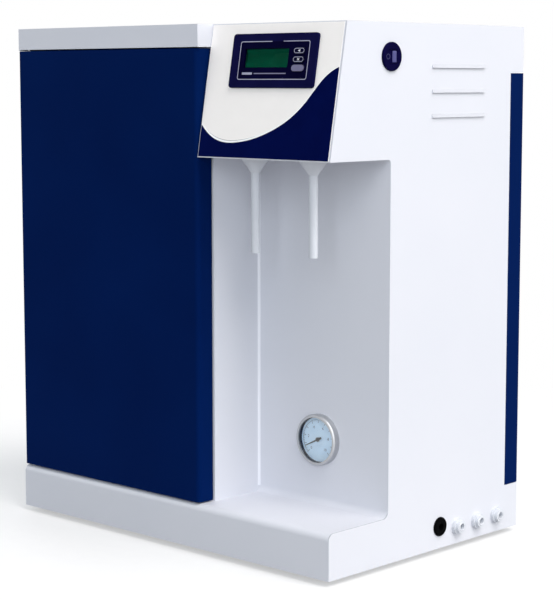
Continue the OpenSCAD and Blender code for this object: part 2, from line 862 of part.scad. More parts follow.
module display_module() color(board_green) on_display()
    translate([window_in + (window_w - module_w) / 2, window_up + (window_h - module_h) / 2, -stack_t])
        cube([module_w, module_h, module_t]);

module keypad_board() color(board_green) on_display() difference() {
    union() {
        translate([board_edge, board_edge, -stack_t - board_t])
            cube([bezel_w - 2 * board_edge, bezel_h - 2 * board_edge, board_t]);
        for (i = [0:2]) key_spot(i) translate([-tact_w / 2, -tact_w / 2, -stack_t])
            cube([tact_w, tact_w, stack_t - key_lip_t - key_travel - tact_gap]);
    }
    for (p = boss_spots) translate([p[0], p[1], -stack_t - board_t - cut])
        cylinder(r = board_screw_r + nut_gap, h = board_t + 2 * cut);
}

module key_cap(i) color([0.42, 0.42, 0.58]) on_display() key_spot(i) {
    linear_extrude(bezel_t + key_proud) stadium(key_w, key_h);
    translate([0, 0, -key_lip_t]) linear_extrude(key_lip_t) stadium(key_w + 2 * key_lip, key_h + 2 * key_lip);
}

module upper_key() key_cap(2);
module middle_key() key_cap(1);
module lower_key() key_cap(0);

module board_screws() color(steel) on_display() for (p = boss_spots)
    translate([p[0], p[1], -stack_t - board_t]) {
        cylinder(r = board_screw_r, h = board_t + stack_t - nut_gap);
        translate([0, 0, -board_screw_head]) cylinder(r = 2 * board_screw_r, h = board_screw_head);
    }

module ctrl_spots() for (y = [ctrl_hole, ctrl_w - ctrl_hole]) for (z = [ctrl_hole, ctrl_h - ctrl_hole])
    translate([x_bay, ctrl_y + y, ctrl_z + z]) rotate([0, 90, 0]) children();

module control_board() color(board_green) {
    translate([x_bay + standoff_h, ctrl_y, ctrl_z]) {
        cube([board_t, ctrl_w, ctrl_h]);
        for (i = [0:relay_n - 1]) translate([board_t, relay_in + relay_pitch * i, relay_up]) cube(relay);
        translate([board_t, chip_in, chip_up]) cube(chip);
        translate([board_t, plug_in, chip_up]) cube(plug_block);
    }
}

module board_standoffs() color(steel) ctrl_spots() cylinder(r = standoff_r, h = standoff_h);

// Switch
module switch_housing() color(black) on_side(switch_y, switch_z) difference() {
    union() {
        rotate_extrude() {
            square([switch_d / 2 - rim_edge_r, switch_rim_t]);
            square([switch_d / 2, switch_rim_t - rim_edge_r]);
            translate([switch_d / 2 - rim_edge_r, switch_rim_t - rim_edge_r]) circle(rim_edge_r);
        }
        translate([0, 0, -switch_depth]) cylinder(r = switch_body_r, h = switch_depth + cut);
        for (i = [-1:1]) translate([-terminal[0] / 2, terminal_pitch * i - terminal[1] / 2,
            -switch_depth - terminal_out]) cube(terminal);
    }
    translate([0, 0, -pocket_depth]) linear_extrude(pocket_depth + switch_rim_t + cut) rotate(90)
        stadium(rocker_l + 2 * pocket_end, rocker_w + 2 * pocket_side);
    rocker_axis() cylinder(r = rocker_pin_r + running_gap, h = rocker_pin_l + 2 * fit_gap, center = true);
}

module rocker_axis() translate([0, 0, -rocker_pivot]) rotate([0, 90, 0]) children();

module power_rocker() color(navy) on_side(switch_y, switch_z) translate([0, 0, -rocker_pivot])
    rotate([rocker_tilt, 0, 0]) {
        intersection() {
            translate([0, 0, -rocker_l]) linear_extrude(2 * rocker_l) rotate(90) stadium(rocker_l, rocker_w);
            rotate([90, 0, 90]) linear_extrude(rocker_w, center = true)
                polygon([[-rocker_l, rocker_end + rocker_pivot], [0, rocker_dish + rocker_pivot],
                    [rocker_l, rocker_end + rocker_pivot], [rocker_l, -rocker_toe],
                    [rocker_keel, -rocker_keel], [-rocker_keel, -rocker_keel], [-rocker_l, -rocker_toe]]);
        }
        rotate([0, 90, 0]) cylinder(r = rocker_pin_r, h = rocker_pin_l, center = true);
    }

// Gauge
module gauge_case() color(black) on_wall() difference() {
    union() {
        translate([0, 0, -case_depth]) cylinder(r = case_r, h = case_depth);
        cylinder(r = case_lip_r, h = case_lip_t);
        socket([0, 0, -case_depth], [0, 0, -1]);
    }
    translate([0, 0, -case_depth + case_wall]) difference() {
        cylinder(r = case_r - case_wall, h = case_depth);
        cylinder(r = case_post_r, h = case_depth - case_wall - dial_t);
    }
    translate([0, 0, -arbor_in - fit_gap]) cylinder(r = arbor_r + running_gap, h = case_depth);
}

module gauge_bezel() color(chrome) on_wall() rotate_extrude() difference() {
    union() {
        square([gauge_d / 2, bezel_front - bezel_roll_r]);
        square([gauge_d / 2 - bezel_roll_r, bezel_front]);
        translate([gauge_d / 2 - bezel_roll_r, bezel_front - bezel_roll_r]) circle(bezel_roll_r);
    }
    translate([0, -cut]) square([case_lip_r + nut_gap, case_lip_t + cut]);
    square([dial_d / 2 + dial_hold + nut_gap, z_dial + dial_t]);
    square([dial_d / 2 + dial_hold / 2, z_lens]);
    translate([0, z_lens]) square([lens_r + fit_gap, lens_t]);
    square([dial_d / 2, bezel_front + cut]);
}

module gauge_dial() color([0.86, 0.91, 0.95]) on_wall() translate([0, 0, z_dial])
    ring(dial_d / 2 + dial_hold, arbor_r + fit_gap, dial_t);

module gauge_needle() color(black) on_wall() {
    translate([0, 0, -arbor_in]) cylinder(r = arbor_r, h = arbor_in + z_pointer + pointer_t);
    translate([0, 0, z_pointer]) {
        cylinder(r = arbor_hub_r, h = pointer_hub_t);
        rotate(180 + needle_drop) linear_extrude(pointer_t)
            polygon([[-pointer_tail, -pointer_tail_w / 2], [-pointer_tail, pointer_tail_w / 2],
                [pointer_l, pointer_tip_w / 2], [pointer_l, -pointer_tip_w / 2]]);
    }
}

module gauge_lens() color([0.9, 0.95, 1], 0.3) on_wall() translate([0, 0, z_lens])
    cylinder(r = lens_r, h = lens_t);

module gauge_clamp() color(steel) on_wall() translate([0, 0, -sheet_t - clamp_t])
    ring(clamp_r, case_r + nut_gap, clamp_t);

// Outlets
module outlet(x) color(white) translate([x, outlet_y, z_head]) rotate_extrude() difference() {
    polygon([[0, -outlet_len], [outlet_d / 2, -outlet_len], [outlet_d / 2, -cone_h], [cone_d / 2, 0],
        [shank_r, 0], [shank_r, shank_h], [0, shank_h]]);
    translate([0, -outlet_len - cut]) square([outlet_bore / 2, outlet_len + shank_h + 2 * cut]);
    translate([0, shank_h - tube_in]) square([tube_r + running_gap, tube_in + cut]);
}

module product_outlet() outlet(product_x);
module permeate_outlet() outlet(permeate_x);

module outlet_nuts() color(steel) for (x = [product_x, permeate_x])
    translate([x, outlet_y, z_head + sheet_t]) hex_ring(nut_r, shank_r + nut_gap, nut_h);

// Side fittings
module tube_port(y) color(white) on_side(y, port_z) rotate_extrude() difference() {
    union() {
        square([port_r, port_collar_t]);
        square([port_r - port_step, port_out]);
        translate([0, -port_shank]) square([port_shank_r, port_shank]);
    }
    translate([0, -port_shank - cut]) square([tube_r - tube_wall, port_shank + port_out + 2 * cut]);
    translate([0, port_out - tube_in]) square([tube_r + running_gap, tube_in + cut]);
    translate([0, -port_shank - cut]) square([tube_r + running_gap, tube_in + cut]);
}

module feed_port() tube_port(feed_y);
module drain_port() tube_port(drain_y);
module tank_port() tube_port(tank_y);

module cable_gland() color(black) on_side(gland_y, gland_z) rotate_extrude() difference() {
    union() {
        square([gland_d / 2, gland_out - gland_dome_r]);
        square([gland_d / 2 - gland_dome_r, gland_out]);
        translate([gland_d / 2 - gland_dome_r, gland_out - gland_dome_r]) circle(gland_dome_r);
        translate([0, -gland_shank]) square([gland_shank_r, gland_shank]);
    }
    translate([0, -gland_shank - cut]) square([cable_d / 2, gland_shank + gland_out + 2 * cut]);
    translate([gland_shank_r, -gland_shank]) square([gland_d / 2 - gland_shank_r + cut, gland_shank]);
}

// Nuts that hold the gland and the ports from inside the panel
module lock_nuts() color(black) {
    side_nut(gland_y, gland_z, gland_nut_r, gland_shank_r);
    for (y = [feed_y, drain_y, tank_y]) side_nut(y, port_z, port_nut_r, port_shank_r);
}

module side_nut(y, z, r_out, r_thread) on_side(y, z) translate([0, 0, -sheet_t - lock_nut_t])
    hex_ring(r_out, r_thread + nut_gap, lock_nut_t);

// Filters
module filter_manifold() color([0.93, 0.93, 0.92]) {
    box([x_in + manifold_edge, y_plate - manifold_d, z_m0 + cup_drop],
        [x_div - manifold_edge, y_plate, z_m1]);
    for (x = filter_x) translate([x, filter_y, z_m0]) cylinder(r = collar_r, h = manifold_h);
    socket([feed_x, y_plate, feed_z], [0, 1, 0]);
    socket([pump_x, pump_y, z_m0 + cup_drop], [0, 0, -1]);
}

// A cartridge that hangs from the manifold, with a bayonet collar and a domed end
module filter(i) translate([filter_x[i], filter_y, z_m0 - filter_len]) rotate_extrude() {
    translate([0, filter_end_r]) square([filter_d / 2, filter_len - filter_end_r]);
    square([filter_d / 2 - filter_end_r, filter_len]);
    intersection() {
        translate([filter_d / 2 - filter_end_r, filter_end_r]) circle(filter_end_r);
        translate([filter_d / 2 - filter_end_r - cut, 0]) square([filter_end_r + cut, filter_end_r]);
    }
    translate([0, filter_len - collar_down]) square([collar_r, collar_h]);
}

module sediment_filter() color([0.93, 0.94, 0.95]) filter(0);
module carbon_filter() color([0.93, 0.94, 0.95]) filter(1);
module scale_filter() color([0.93, 0.94, 0.95]) filter(2);

// Membrane and polishing columns
module membrane_housing() color([0.94, 0.94, 0.94]) {
    translate([membrane_x, column_y, z_cap1]) cylinder(r = column_r, h = z_col1 - z_cap1);
    for (y = [column_y, tee_y]) {
        translate([membrane_x, y, z_col1 - cut]) cylinder(r = membrane_neck_r, h = neck_h + cut);
        socket([membrane_x, y, z_col1 + neck_h], [0, 0, 1]);
    }
}

module membrane_cap() color([0.30, 0.45, 0.70]) {
    translate([membrane_x, column_y, z_cap0]) cylinder(r = cap_r, h = z_cap1 - z_cap0);
    for (s = cap_sockets()) {
        point(s[0] - s[1] * socket_root, s[1]) cylinder(r = fit_r, h = socket_root + cut / 2);
        socket(s[0], s[1]);
    }
}

function cap_sockets() = [
    [[membrane_x, column_y - cap_r, pump_z], [0, -1, 0]],
    [[membrane_x + cap_r, column_y, gauge_z], [1, 0, 0]],
    [[membrane_x, column_y, z_cap0], [0, 0, -1]]];

module polishing_columns() color([0.90, 0.93, 0.97]) for (x = polish_x) {
    translate([x, column_y, z_cap0]) cylinder(r = column_r, h = z_col1 - z_cap0);
    translate([x, column_y, z_col1 - cut]) cylinder(r = column_neck_r, h = neck_h + cut);
    socket([x, column_y, z_col1 + neck_h], [0, 0, 1]);
    socket([x, column_y, z_cap0], [0, 0, -1]);
}

module column_clips() color(white) for (x = concat(polish_x, [membrane_x])) for (z = clip_z)
    translate([x, column_y, z]) difference() {
        union() {
            cylinder(r = clip_r, h = clip_h);
            translate([-clip_foot / 2, y_back - column_y, 0])
                cube([clip_foot, column_y - y_back - column_r, clip_h]);
        }
        translate([0, 0, -cut]) cylinder(r = column_r + light, h = clip_h + 2 * cut);
        translate([-clip_mouth / 2, 0, -cut]) cube([clip_mouth, 2 * column_r, clip_h + 2 * cut]);
    }

// Pump
module pump_motor() color([0.20, 0.21, 0.23]) difference() {
    union() {
        translate([motor_x, pump_y, pump_z]) rotate([0, 90, 0]) cylinder(d = motor_d, h = motor_len);
        translate([motor_x - motor_boss_l, pump_y, pump_z]) rotate([0, 90, 0])
            cylinder(d = motor_boss_d, h = motor_boss_l + cut);
    }
    translate([motor_x + motor_len - shaft_in - fit_gap, pump_y, pump_z]) rotate([0, 90, 0])
        cylinder(r = shaft_r + running_gap, h = shaft_in + fit_gap + cut);
}

module pump_head() color([0.12, 0.12, 0.13]) {
    x0 = motor_x + motor_len;
    difference() {
        translate([x0, pump_y - pump_side / 2, pump_z - pump_side / 2])
            cube([pump_head_l, pump_side, pump_side]);
        translate([x0 - cut, pump_y, pump_z]) rotate([0, 90, 0]) cylinder(r = cavity_r, h = cavity_l + cut);
    }
    socket([pump_x, pump_y, pump_z + pump_side / 2], [0, 0, 1]);
    socket([pump_x, pump_y + pump_side / 2, pump_z], [0, 1, 0]);
}

module pump_shaft() color(steel) translate([motor_x + motor_len, pump_y, pump_z]) rotate([0, 90, 0]) {
    translate([0, 0, -shaft_in]) cylinder(r = shaft_r, h = shaft_in + cavity_l - shaft_end);
    translate([hub_off, 0, hub_in]) cylinder(r = hub_r, h = hub_l);
}

module pump_bracket() color(steel) difference() {
    union() {
        box([bracket_x, pump_y - bracket_w / 2, z_deck + mount_h],
            [bracket_x + bracket_l, pump_y + bracket_w / 2, z_deck + mount_h + bracket_t]);
        for (x = [motor_x + saddle_in, motor_x + motor_len - saddle_in - saddle_l])
            box([x, pump_y - motor_d / 3, z_deck + mount_h],
                [x + saddle_l, pump_y + motor_d / 3, pump_z - motor_d / 4]);
    }
    translate([motor_x - cut, pump_y, pump_z]) rotate([0, 90, 0])
        cylinder(r = motor_d / 2 + light, h = motor_len + 2 * cut);
}

module pump_mounts() color(black)
    for (x = [bracket_x + mount_edge, bracket_x + bracket_l - mount_edge])
        for (y = [pump_y - bracket_w / 2 + mount_edge, pump_y + bracket_w / 2 - mount_edge])
            translate([x, y, z_deck]) cylinder(r = mount_r, h = mount_h);

// Solenoid valves, tee and power supply
module valve(y) {
    box([valve_x0, y - valve_w / 2, port_z - valve_w / 2], [valve_x1, y + valve_w / 2, port_z + valve_w / 2]);
    box([valve_x0 + valve_foot, y - valve_w / 2, z_floor], [valve_x1 - valve_foot, y + valve_w / 2, port_z]);
    translate([(valve_x0 + valve_x1) / 2, y, port_z]) cylinder(r = coil_r, h = valve_w / 2 + coil_h);
    socket([valve_x1, y, port_z], [1, 0, 0]);
    socket([valve_x0, y, port_z], [-1, 0, 0]);
}

module tee() {
    for (d = [[0, 0, 1], [0, 0, -1], [0, -1, 0]]) {
        point([permeate_x, tee_y, z_tee], d) cylinder(r = fit_r, h = tee_half - fit_len + cut / 2);
        socket([permeate_x, tee_y, z_tee] + d * (tee_half - fit_len), d);
    }
}

module solenoid_valves() color([0.85, 0.86, 0.88]) for (y = [feed_y, drain_y]) valve(y);

module power_supply() color(steel)
    box([x_bay, psu_y, psu_z], [x_bay + psu_t, psu_y + psu_w, psu_z + psu_h]);

// Water tubes from socket to socket, and the tee in the tank line
module water_lines() color(water_blue) {
    tee();
    port_end = x_r - port_shank + tube_in;
    outlet_seat = z_head + shank_h - tube_in;
    for (y = [feed_y, drain_y]) tube([seat([valve_x1, y, port_z], [1, 0, 0]), [port_end, y, port_z]]);
    tube([seat([valve_x0, feed_y, port_z], [-1, 0, 0]), [feed_x, feed_y, port_z], [feed_x, feed_y, feed_z],
        seat([feed_x, y_plate, feed_z], [0, 1, 0])]);
    tube([seat([pump_x, pump_y, z_m0 + cup_drop], [0, 0, -1]),
        seat([pump_x, pump_y, pump_z + pump_side / 2], [0, 0, 1])]);
    tube([seat([pump_x, pump_y + pump_side / 2, pump_z], [0, 1, 0]),
        seat([membrane_x, column_y - cap_r, pump_z], [0, -1, 0])]);
    tube([seat([membrane_x + cap_r, column_y, gauge_z], [1, 0, 0]), [gauge_x, column_y, gauge_z],
        seat([gauge_x, y_bay + case_depth, gauge_z], [0, 1, 0])]);
    tube([seat([membrane_x, column_y, z_cap0], [0, 0, -1]), [membrane_x, column_y, port_z],
        seat([valve_x0, drain_y, port_z], [-1, 0, 0])]);
    tube([seat([membrane_x, column_y, z_col1 + neck_h], [0, 0, 1]), [membrane_x, column_y, z_link],
        [polish_x[0], column_y, z_link], seat([polish_x[0], column_y, z_col1 + neck_h], [0, 0, 1])]);
    tube([seat([polish_x[0], column_y, z_cap0], [0, 0, -1]), [polish_x[0], column_y, z_low_link],
        [polish_x[1], column_y, z_low_link], seat([polish_x[1], column_y, z_cap0], [0, 0, -1])]);
    tube([seat([polish_x[1], column_y, z_col1 + neck_h], [0, 0, 1]), [polish_x[1], column_y, z_product],
        [product_x, column_y, z_product], [product_x, outlet_y, z_product],
        [product_x, outlet_y, outlet_seat]]);
    tube([seat([membrane_x, tee_y, z_col1 + neck_h], [0, 0, 1]), [membrane_x, tee_y, z_tank],
        [permeate_x, tee_y, z_tank], [permeate_x, tee_y, z_tee + tee_seat]]);
    tube([[permeate_x, tee_y - tee_seat, z_tee], [permeate_x, outlet_y, z_tee],
        [permeate_x, outlet_y, outlet_seat]]);
    tube([[permeate_x, tee_y, z_tee - tee_seat], [permeate_x, tee_y, z_jog],
        [permeate_x, tank_y, z_jog], [permeate_x, tank_y, port_z], [port_end, tank_y, port_z]]);
}

base_pan();
front_apron();
left_side_panel();
right_side_panel();
bay_back_panel();
bay_side_wall();
head_panel();
top_cover();
rear_cover();
divider_panel();
mounting_plate();
feet();
cover_screws();
door_panel();
hinge_pins();
door_magnet();
strike_plate();
head_label();
display_bezel();
display_window();
display_module();
keypad_board();
upper_key();
middle_key();
lower_key();
board_screws();
control_board();
board_standoffs();
switch_housing();
power_rocker();
gauge_case();
gauge_bezel();
gauge_dial();
gauge_needle();
gauge_lens();
gauge_clamp();
product_outlet();
permeate_outlet();
outlet_nuts();
feed_port();
drain_port();
tank_port();
lock_nuts();
cable_gland();
filter_manifold();
sediment_filter();
carbon_filter();
scale_filter();
membrane_housing();
membrane_cap();
polishing_columns();
column_clips();
pump_motor();
pump_head();
pump_shaft();
pump_bracket();
pump_mounts();
solenoid_valves();
power_supply();
water_lines();
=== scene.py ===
# %% [markdown]
# # A bench water purifier
# The object is a painted sheet-metal cabinet with a blue door, a bay for a flask and a leaning display
# head. Its solids are already made, so this lesson gives them their looks. First come the camera and the
# light, then one finish per material, then the print on the head, and last the small pieces that a solid
# leaves out. Every length is in metres, in the frame of the solids: X to the right, Y to the back, Z up.
# Small drawings are easier to read in millimetres, and MM turns those into metres.

# %% Load the solids
import json
import math

import bmesh
import bpy
import numpy as np
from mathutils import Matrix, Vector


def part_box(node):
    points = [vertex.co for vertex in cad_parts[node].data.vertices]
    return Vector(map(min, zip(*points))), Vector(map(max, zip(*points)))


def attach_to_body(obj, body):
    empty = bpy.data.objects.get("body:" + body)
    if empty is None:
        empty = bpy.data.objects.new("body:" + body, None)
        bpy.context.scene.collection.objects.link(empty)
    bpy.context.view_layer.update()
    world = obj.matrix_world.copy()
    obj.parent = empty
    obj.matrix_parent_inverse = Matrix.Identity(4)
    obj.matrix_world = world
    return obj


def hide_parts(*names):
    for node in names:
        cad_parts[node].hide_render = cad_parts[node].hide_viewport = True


MM = 0.001
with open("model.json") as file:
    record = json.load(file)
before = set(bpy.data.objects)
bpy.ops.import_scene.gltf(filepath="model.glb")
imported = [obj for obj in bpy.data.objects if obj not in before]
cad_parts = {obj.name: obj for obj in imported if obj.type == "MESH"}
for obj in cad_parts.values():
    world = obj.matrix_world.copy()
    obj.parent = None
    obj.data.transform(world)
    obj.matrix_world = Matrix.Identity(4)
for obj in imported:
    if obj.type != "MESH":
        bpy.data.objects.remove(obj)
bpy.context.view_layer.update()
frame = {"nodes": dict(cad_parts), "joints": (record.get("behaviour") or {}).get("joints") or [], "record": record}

# %% [markdown]
# ## Camera
# A product photograph is taken from well away with a long lens, so upright edges stay nearly parallel. The
# camera stands to the right of the front, a little below the cabinet's top, and looks slightly down.
# Setting its turn and dip as two angles is easier to read than a tracking constraint.

# %% Place the camera
EYE = (1.3302, -1.3952, 0.4847)
TURN = 43.319
DIP = 7.055
LENS_MM = 106.69
SENSOR_MM = 36

lens = bpy.data.cameras.new("camera")
lens.lens = LENS_MM
lens.sensor_width = SENSOR_MM
camera = bpy.data.objects.new("camera", lens)
camera.location = EYE
camera.rotation_euler = (math.radians(90 - DIP), 0, math.radians(TURN))
bpy.context.scene.collection.objects.link(camera)
bpy.context.scene.camera = camera
bpy.context.scene.view_settings.view_transform = "Standard"
print("camera at", EYE, "turned", TURN, "degrees")

# %% [markdown]
# ## Building a finish from nodes
# A finish is a small graph of shader nodes. Such a graph can be drawn by hand in the shader editor, but a
# script can be read and repeated. Three helpers keep it short: one starts a material and sets the shader's
# own numbers, one adds a node and wires its inputs in the same line, and one feeds the shader.

# %% Start a material, add a node
def new_finish(name, sockets):
    """A material whose Principled shader has these socket values."""
    mat = bpy.data.materials.new(name)
    mat.use_nodes = True
    shader = mat.node_tree.nodes["Principled BSDF"]
    for socket, value in sockets.items():
        shader.inputs[socket].default_value = value
    return mat


def add(mat, kind, sockets=None, **options):
    """A new node of that kind. Each socket takes a value or the output of another node."""
    made = mat.node_tree.nodes.new("ShaderNode" + kind)
    for option, value in options.items():
        setattr(made, option, value)
    for socket, value in (sockets or {}).items():
        if isinstance(value, bpy.types.NodeSocket):
            mat.node_tree.links.new(value, made.inputs[socket])
        else:
            made.inputs[socket].default_value = value
    return made


def wire(mat, socket, output):
    """Feeds an output into the material's Principled shader."""
    mat.node_tree.links.new(output, mat.node_tree.nodes["Principled BSDF"].inputs[socket])


print("nodes of Blender", bpy.app.version_string)

# %% [markdown]
# No real surface has one flat colour and one even gloss. A noise varies both, and a low relief too. Pictures
# could do the same, but a noise has no seams and no files. Patterns read Object coordinates, which here are
# plain metres, so a grain of half a millimetre is written as 0.0005.

# %% Noise, colour, gloss and relief
TINT_FROM, TINT_TO = 0.3, 0.7
RELIEF_STRENGTH = 0.5


def grain(mat, size, detail=2.0, stretch=(1, 1, 1)):
    """Soft noise with spots about size metres across, drawn out by stretch along each axis."""
    place = add(mat, "TexCoord").outputs["Object"]
    scale = [1 / (size * k) for k in stretch]
    place = add(mat, "Mapping", {"Vector": place, "Scale": scale}).outputs["Vector"]
    return add(mat, "TexNoise", {"Vector": place, "Scale": 1.0, "Detail": detail}).outputs[0]


def tint(mat, amount, dark, light):
    """Base colour that goes from dark to light as amount goes from TINT_FROM to TINT_TO."""
    ramp = add(mat, "ValToRGB", {"Fac": amount})
    for element, place, colour in zip(ramp.color_ramp.elements, (TINT_FROM, TINT_TO), (dark, light)):
        element.position = place
        element.color = (*colour, 1)
    wire(mat, "Base Color", ramp.outputs["Color"])


def roughen(mat, amount, low, high):
    """Roughness that goes from low to high with amount."""
    spread = add(mat, "MapRange", {"Value": amount, "To Min": low, "To Max": high})
    wire(mat, "Roughness", spread.outputs["Result"])


def emboss(mat, amount, depth):
    """Relief depth metres high, taken from amount."""
    relief = add(mat, "Bump", {"Height": amount, "Distance": depth, "Strength": RELIEF_STRENGTH})
    wire(mat, "Normal", relief.outputs["Normal"])


print("colours run over a noise from", TINT_FROM, "to", TINT_TO)

# %% [markdown]
# ## Studio
# The background is white and the light on the object is dimmer. Lighting the object with that white would
# wash it out, so the white is only what the camera, reflections and glass see: Light Path tells those rays
# from the light that falls on surfaces, and a Mix Shader picks one of two backgrounds.

# %% World
AMBIENT = 0.40
COOL = (0.935, 0.995, 1.05)


def seen_directly(tree):
    """An output that is 1 where the camera, a reflection or a view through glass looks, else 0."""
    path = tree.nodes.new("ShaderNodeLightPath")
    total = path.outputs["Is Camera Ray"]
    for ray in ("Is Glossy Ray", "Is Transmission Ray"):
        add_up = tree.nodes.new("ShaderNodeMath")
        add_up.use_clamp = True
        tree.links.new(total, add_up.inputs[0])
        tree.links.new(path.outputs[ray], add_up.inputs[1])
        total = add_up.outputs[0]
    return total


world = bpy.data.worlds.new("studio")
world.use_nodes = True
sky = world.node_tree
dim = sky.nodes["Background"]
dim.inputs["Color"].default_value = (*COOL, 1)
dim.inputs["Strength"].default_value = AMBIENT
bright = sky.nodes.new("ShaderNodeBackground")
bright.inputs["Color"].default_value = (1, 1, 1, 1)
either = sky.nodes.new("ShaderNodeMixShader")
sky.links.new(seen_directly(sky), either.inputs["Fac"])
sky.links.new(dim.outputs[0], either.inputs[1])
sky.links.new(bright.outputs[0], either.inputs[2])
sky.links.new(either.outputs[0], sky.nodes["World Output"].inputs["Surface"])
bpy.context.scene.world = world
print("ambient light", AMBIENT)

# %% [markdown]
# A large lamp stands high on the right, and a lower one in front reaches under the head into the bay. A
# third lifts the right side, so the fronts stay a little over half as bright, and a weaker one at the back
# left keeps the far sides readable. All are wide squares, because a wide lamp gives soft shadows, and they
# stand far off, so that the light hardly changes across the cabinet.

# %% Lamps
WARM = (1.0, 0.97, 0.94)
LAMP_AWAY, LAMP_SIZE = 12.0, 7.2
AIM = (0.0, 0.0, 0.27)


def soft_lamp(name, towards, level, colour):
    """A square lamp that lights a facing surface to level: its power is level times (pi distance) squared."""
    lamp = bpy.data.lights.new(name, "AREA")
    lamp.size = LAMP_SIZE
    lamp.color = colour
    lamp.energy = math.pi ** 2 * LAMP_AWAY ** 2 * level
    holder = bpy.data.objects.new(name, lamp)
    direction = np.array(towards) / np.linalg.norm(towards)
    holder.location = np.array(AIM) + direction * LAMP_AWAY
    turn = math.atan2(direction[1], direction[0]) + math.pi / 2
    holder.rotation_euler = (math.acos(direction[2]), 0, turn)
    bpy.context.scene.collection.objects.link(holder)


lamps = {
    "key_lamp": ((0.55, -0.08, 0.83), 0.79, WARM),
    "front_lamp": ((0.575, -0.75, 0.32), 0.39, COOL),
    "side_lamp": ((0.85, 0.40, 0.35), 0.405, WARM),
    "fill_lamp": ((-0.72, 0.56, 0.42), 0.26, COOL),
}
for name, (towards, level, colour) in lamps.items():
    soft_lamp(name, towards, level, colour)
    print(name, "lights to", level)

# %% [markdown]
# ## Surfaces from arrays
# Every new piece below is a grid of points, worked out in one go with numpy. Building it point by point would
# be slower and harder to follow. One helper numbers the corners of the grid's cells, and one repeats them
# for shapes that come in several copies.

# %% Grids
def grid_faces(rows, columns, wrap=False):
    """Corner numbers of every cell of a grid of points, closed on itself along the columns if wrap."""
    number = np.arange(rows * columns).reshape(rows, columns)
    if wrap:
        number = np.hstack([number, number[:, :1]])
    corners = (number[:-1, :-1], number[1:, :-1], number[1:, 1:], number[:-1, 1:])
    return np.stack(corners, -1).reshape(-1, 4)


def repeated(faces, copies, points_each):
    """The same faces for several copies of a grid that follow each other in one list of points."""
    shift = points_each * np.arange(copies)
    return (np.asarray(faces)[None] + shift[:, None, None]).reshape(copies * len(faces), -1)


print("a grid of 3 by 4 points has", len(grid_faces(3, 4)), "cells")

# %% [markdown]
# Points and cells become a mesh object. Where a grid meets itself, as at the pole of a turned shape, its
# points are welded, and then all faces are turned outwards. Last, the piece is told which body carries it,
# so that it moves with a key or the rocker, or stays with the cabinet.

# %% Pieces and welded seams
SMOOTH_BELOW = math.radians(35)
WELD = 1e-7


def new_piece(name, points, faces, mat):
    """A mesh object at the origin from points (n, 3) and faces, each a list of corners."""
    mesh = bpy.data.meshes.new(name)
    mesh.from_pydata(points.reshape(-1, 3).tolist(), [], [list(map(int, f)) for f in faces])
    mesh.update()
    mesh.materials.append(mat)
    piece = bpy.data.objects.new(name, mesh)
    bpy.context.scene.collection.objects.link(piece)
    return piece


def seal(piece):
    """Welds points that fall together, turns the faces outwards and smooths what isn't a real edge."""
    shell = bmesh.new()
    shell.from_mesh(piece.data)
    bmesh.ops.remove_doubles(shell, verts=shell.verts, dist=WELD)
    bmesh.ops.recalc_face_normals(shell, faces=shell.faces)
    shell.to_mesh(piece.data)
    shell.free()
    piece.data.shade_smooth()
    piece.data.set_sharp_from_angle(angle=SMOOTH_BELOW)


def attach(piece, body):
    """Lets a piece move with a body."""
    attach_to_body(piece, body)
    return piece


print("edges below", round(math.degrees(SMOOTH_BELOW)), "degrees are smooth")

# %% [markdown]
# ## Floor
# The floor is a wide disc. Close to the cabinet it is pale card that takes the shadow, and further out it
# fades to plain white, so no horizon shows. A square would do, but a disc ends equally far away all round.
# It is a grid in polar form: each point is an angle and a radius.

# %% Floor card
FADE_FROM, FADE_TO = 0.40, 0.95
FLOOR_BOUNCE, FLOOR_GLOW = 0.38, 0.45
FLECKS = 60.0
CARD_DARK, CARD_LIGHT = (0.86, 0.86, 0.87, 1), (0.90, 0.90, 0.905, 1)


def floor_card():
    """Card mixed with plain white, a share FLOOR_GLOW near the middle that rises to all of it far out."""
    mat = bpy.data.materials.new("floor_card")
    mat.use_nodes = True
    tree = mat.node_tree
    tree.nodes.remove(tree.nodes["Principled BSDF"])
    place = add(mat, "TexCoord").outputs["Object"]
    away = add(mat, "VectorMath", {0: place}, operation="LENGTH").outputs["Value"]
    fade = add(mat, "MapRange", {"Value": away, "From Min": FADE_FROM, "From Max": FADE_TO,
                                 "To Min": FLOOR_GLOW}, interpolation_type="SMOOTHSTEP")
    fleck = add(mat, "TexNoise", {"Vector": place, "Scale": FLECKS}).outputs[0]
    ramp = add(mat, "ValToRGB", {"Fac": fleck})
    ramp.color_ramp.elements[0].color = CARD_DARK
    ramp.color_ramp.elements[1].color = CARD_LIGHT
    card = add(mat, "BsdfDiffuse", {"Color": ramp.outputs["Color"]}).outputs[0]
    white = add(mat, "Emission", {"Color": (1, 1, 1, 1), "Strength": 1.0}).outputs[0]
    bounce = add(mat, "BsdfDiffuse", {"Color": (FLOOR_BOUNCE,) * 3 + (1,)}).outputs[0]
    shown = add(mat, "MixShader", {"Fac": fade.outputs["Result"], 1: card, 2: white}).outputs[0]
    final = add(mat, "MixShader", {"Fac": seen_directly(tree), 1: bounce, 2: shown}).outputs[0]
    tree.links.new(final, tree.nodes["Material Output"].inputs["Surface"])
    return mat


print("card fades out from", FADE_FROM, "to", FADE_TO, "m")

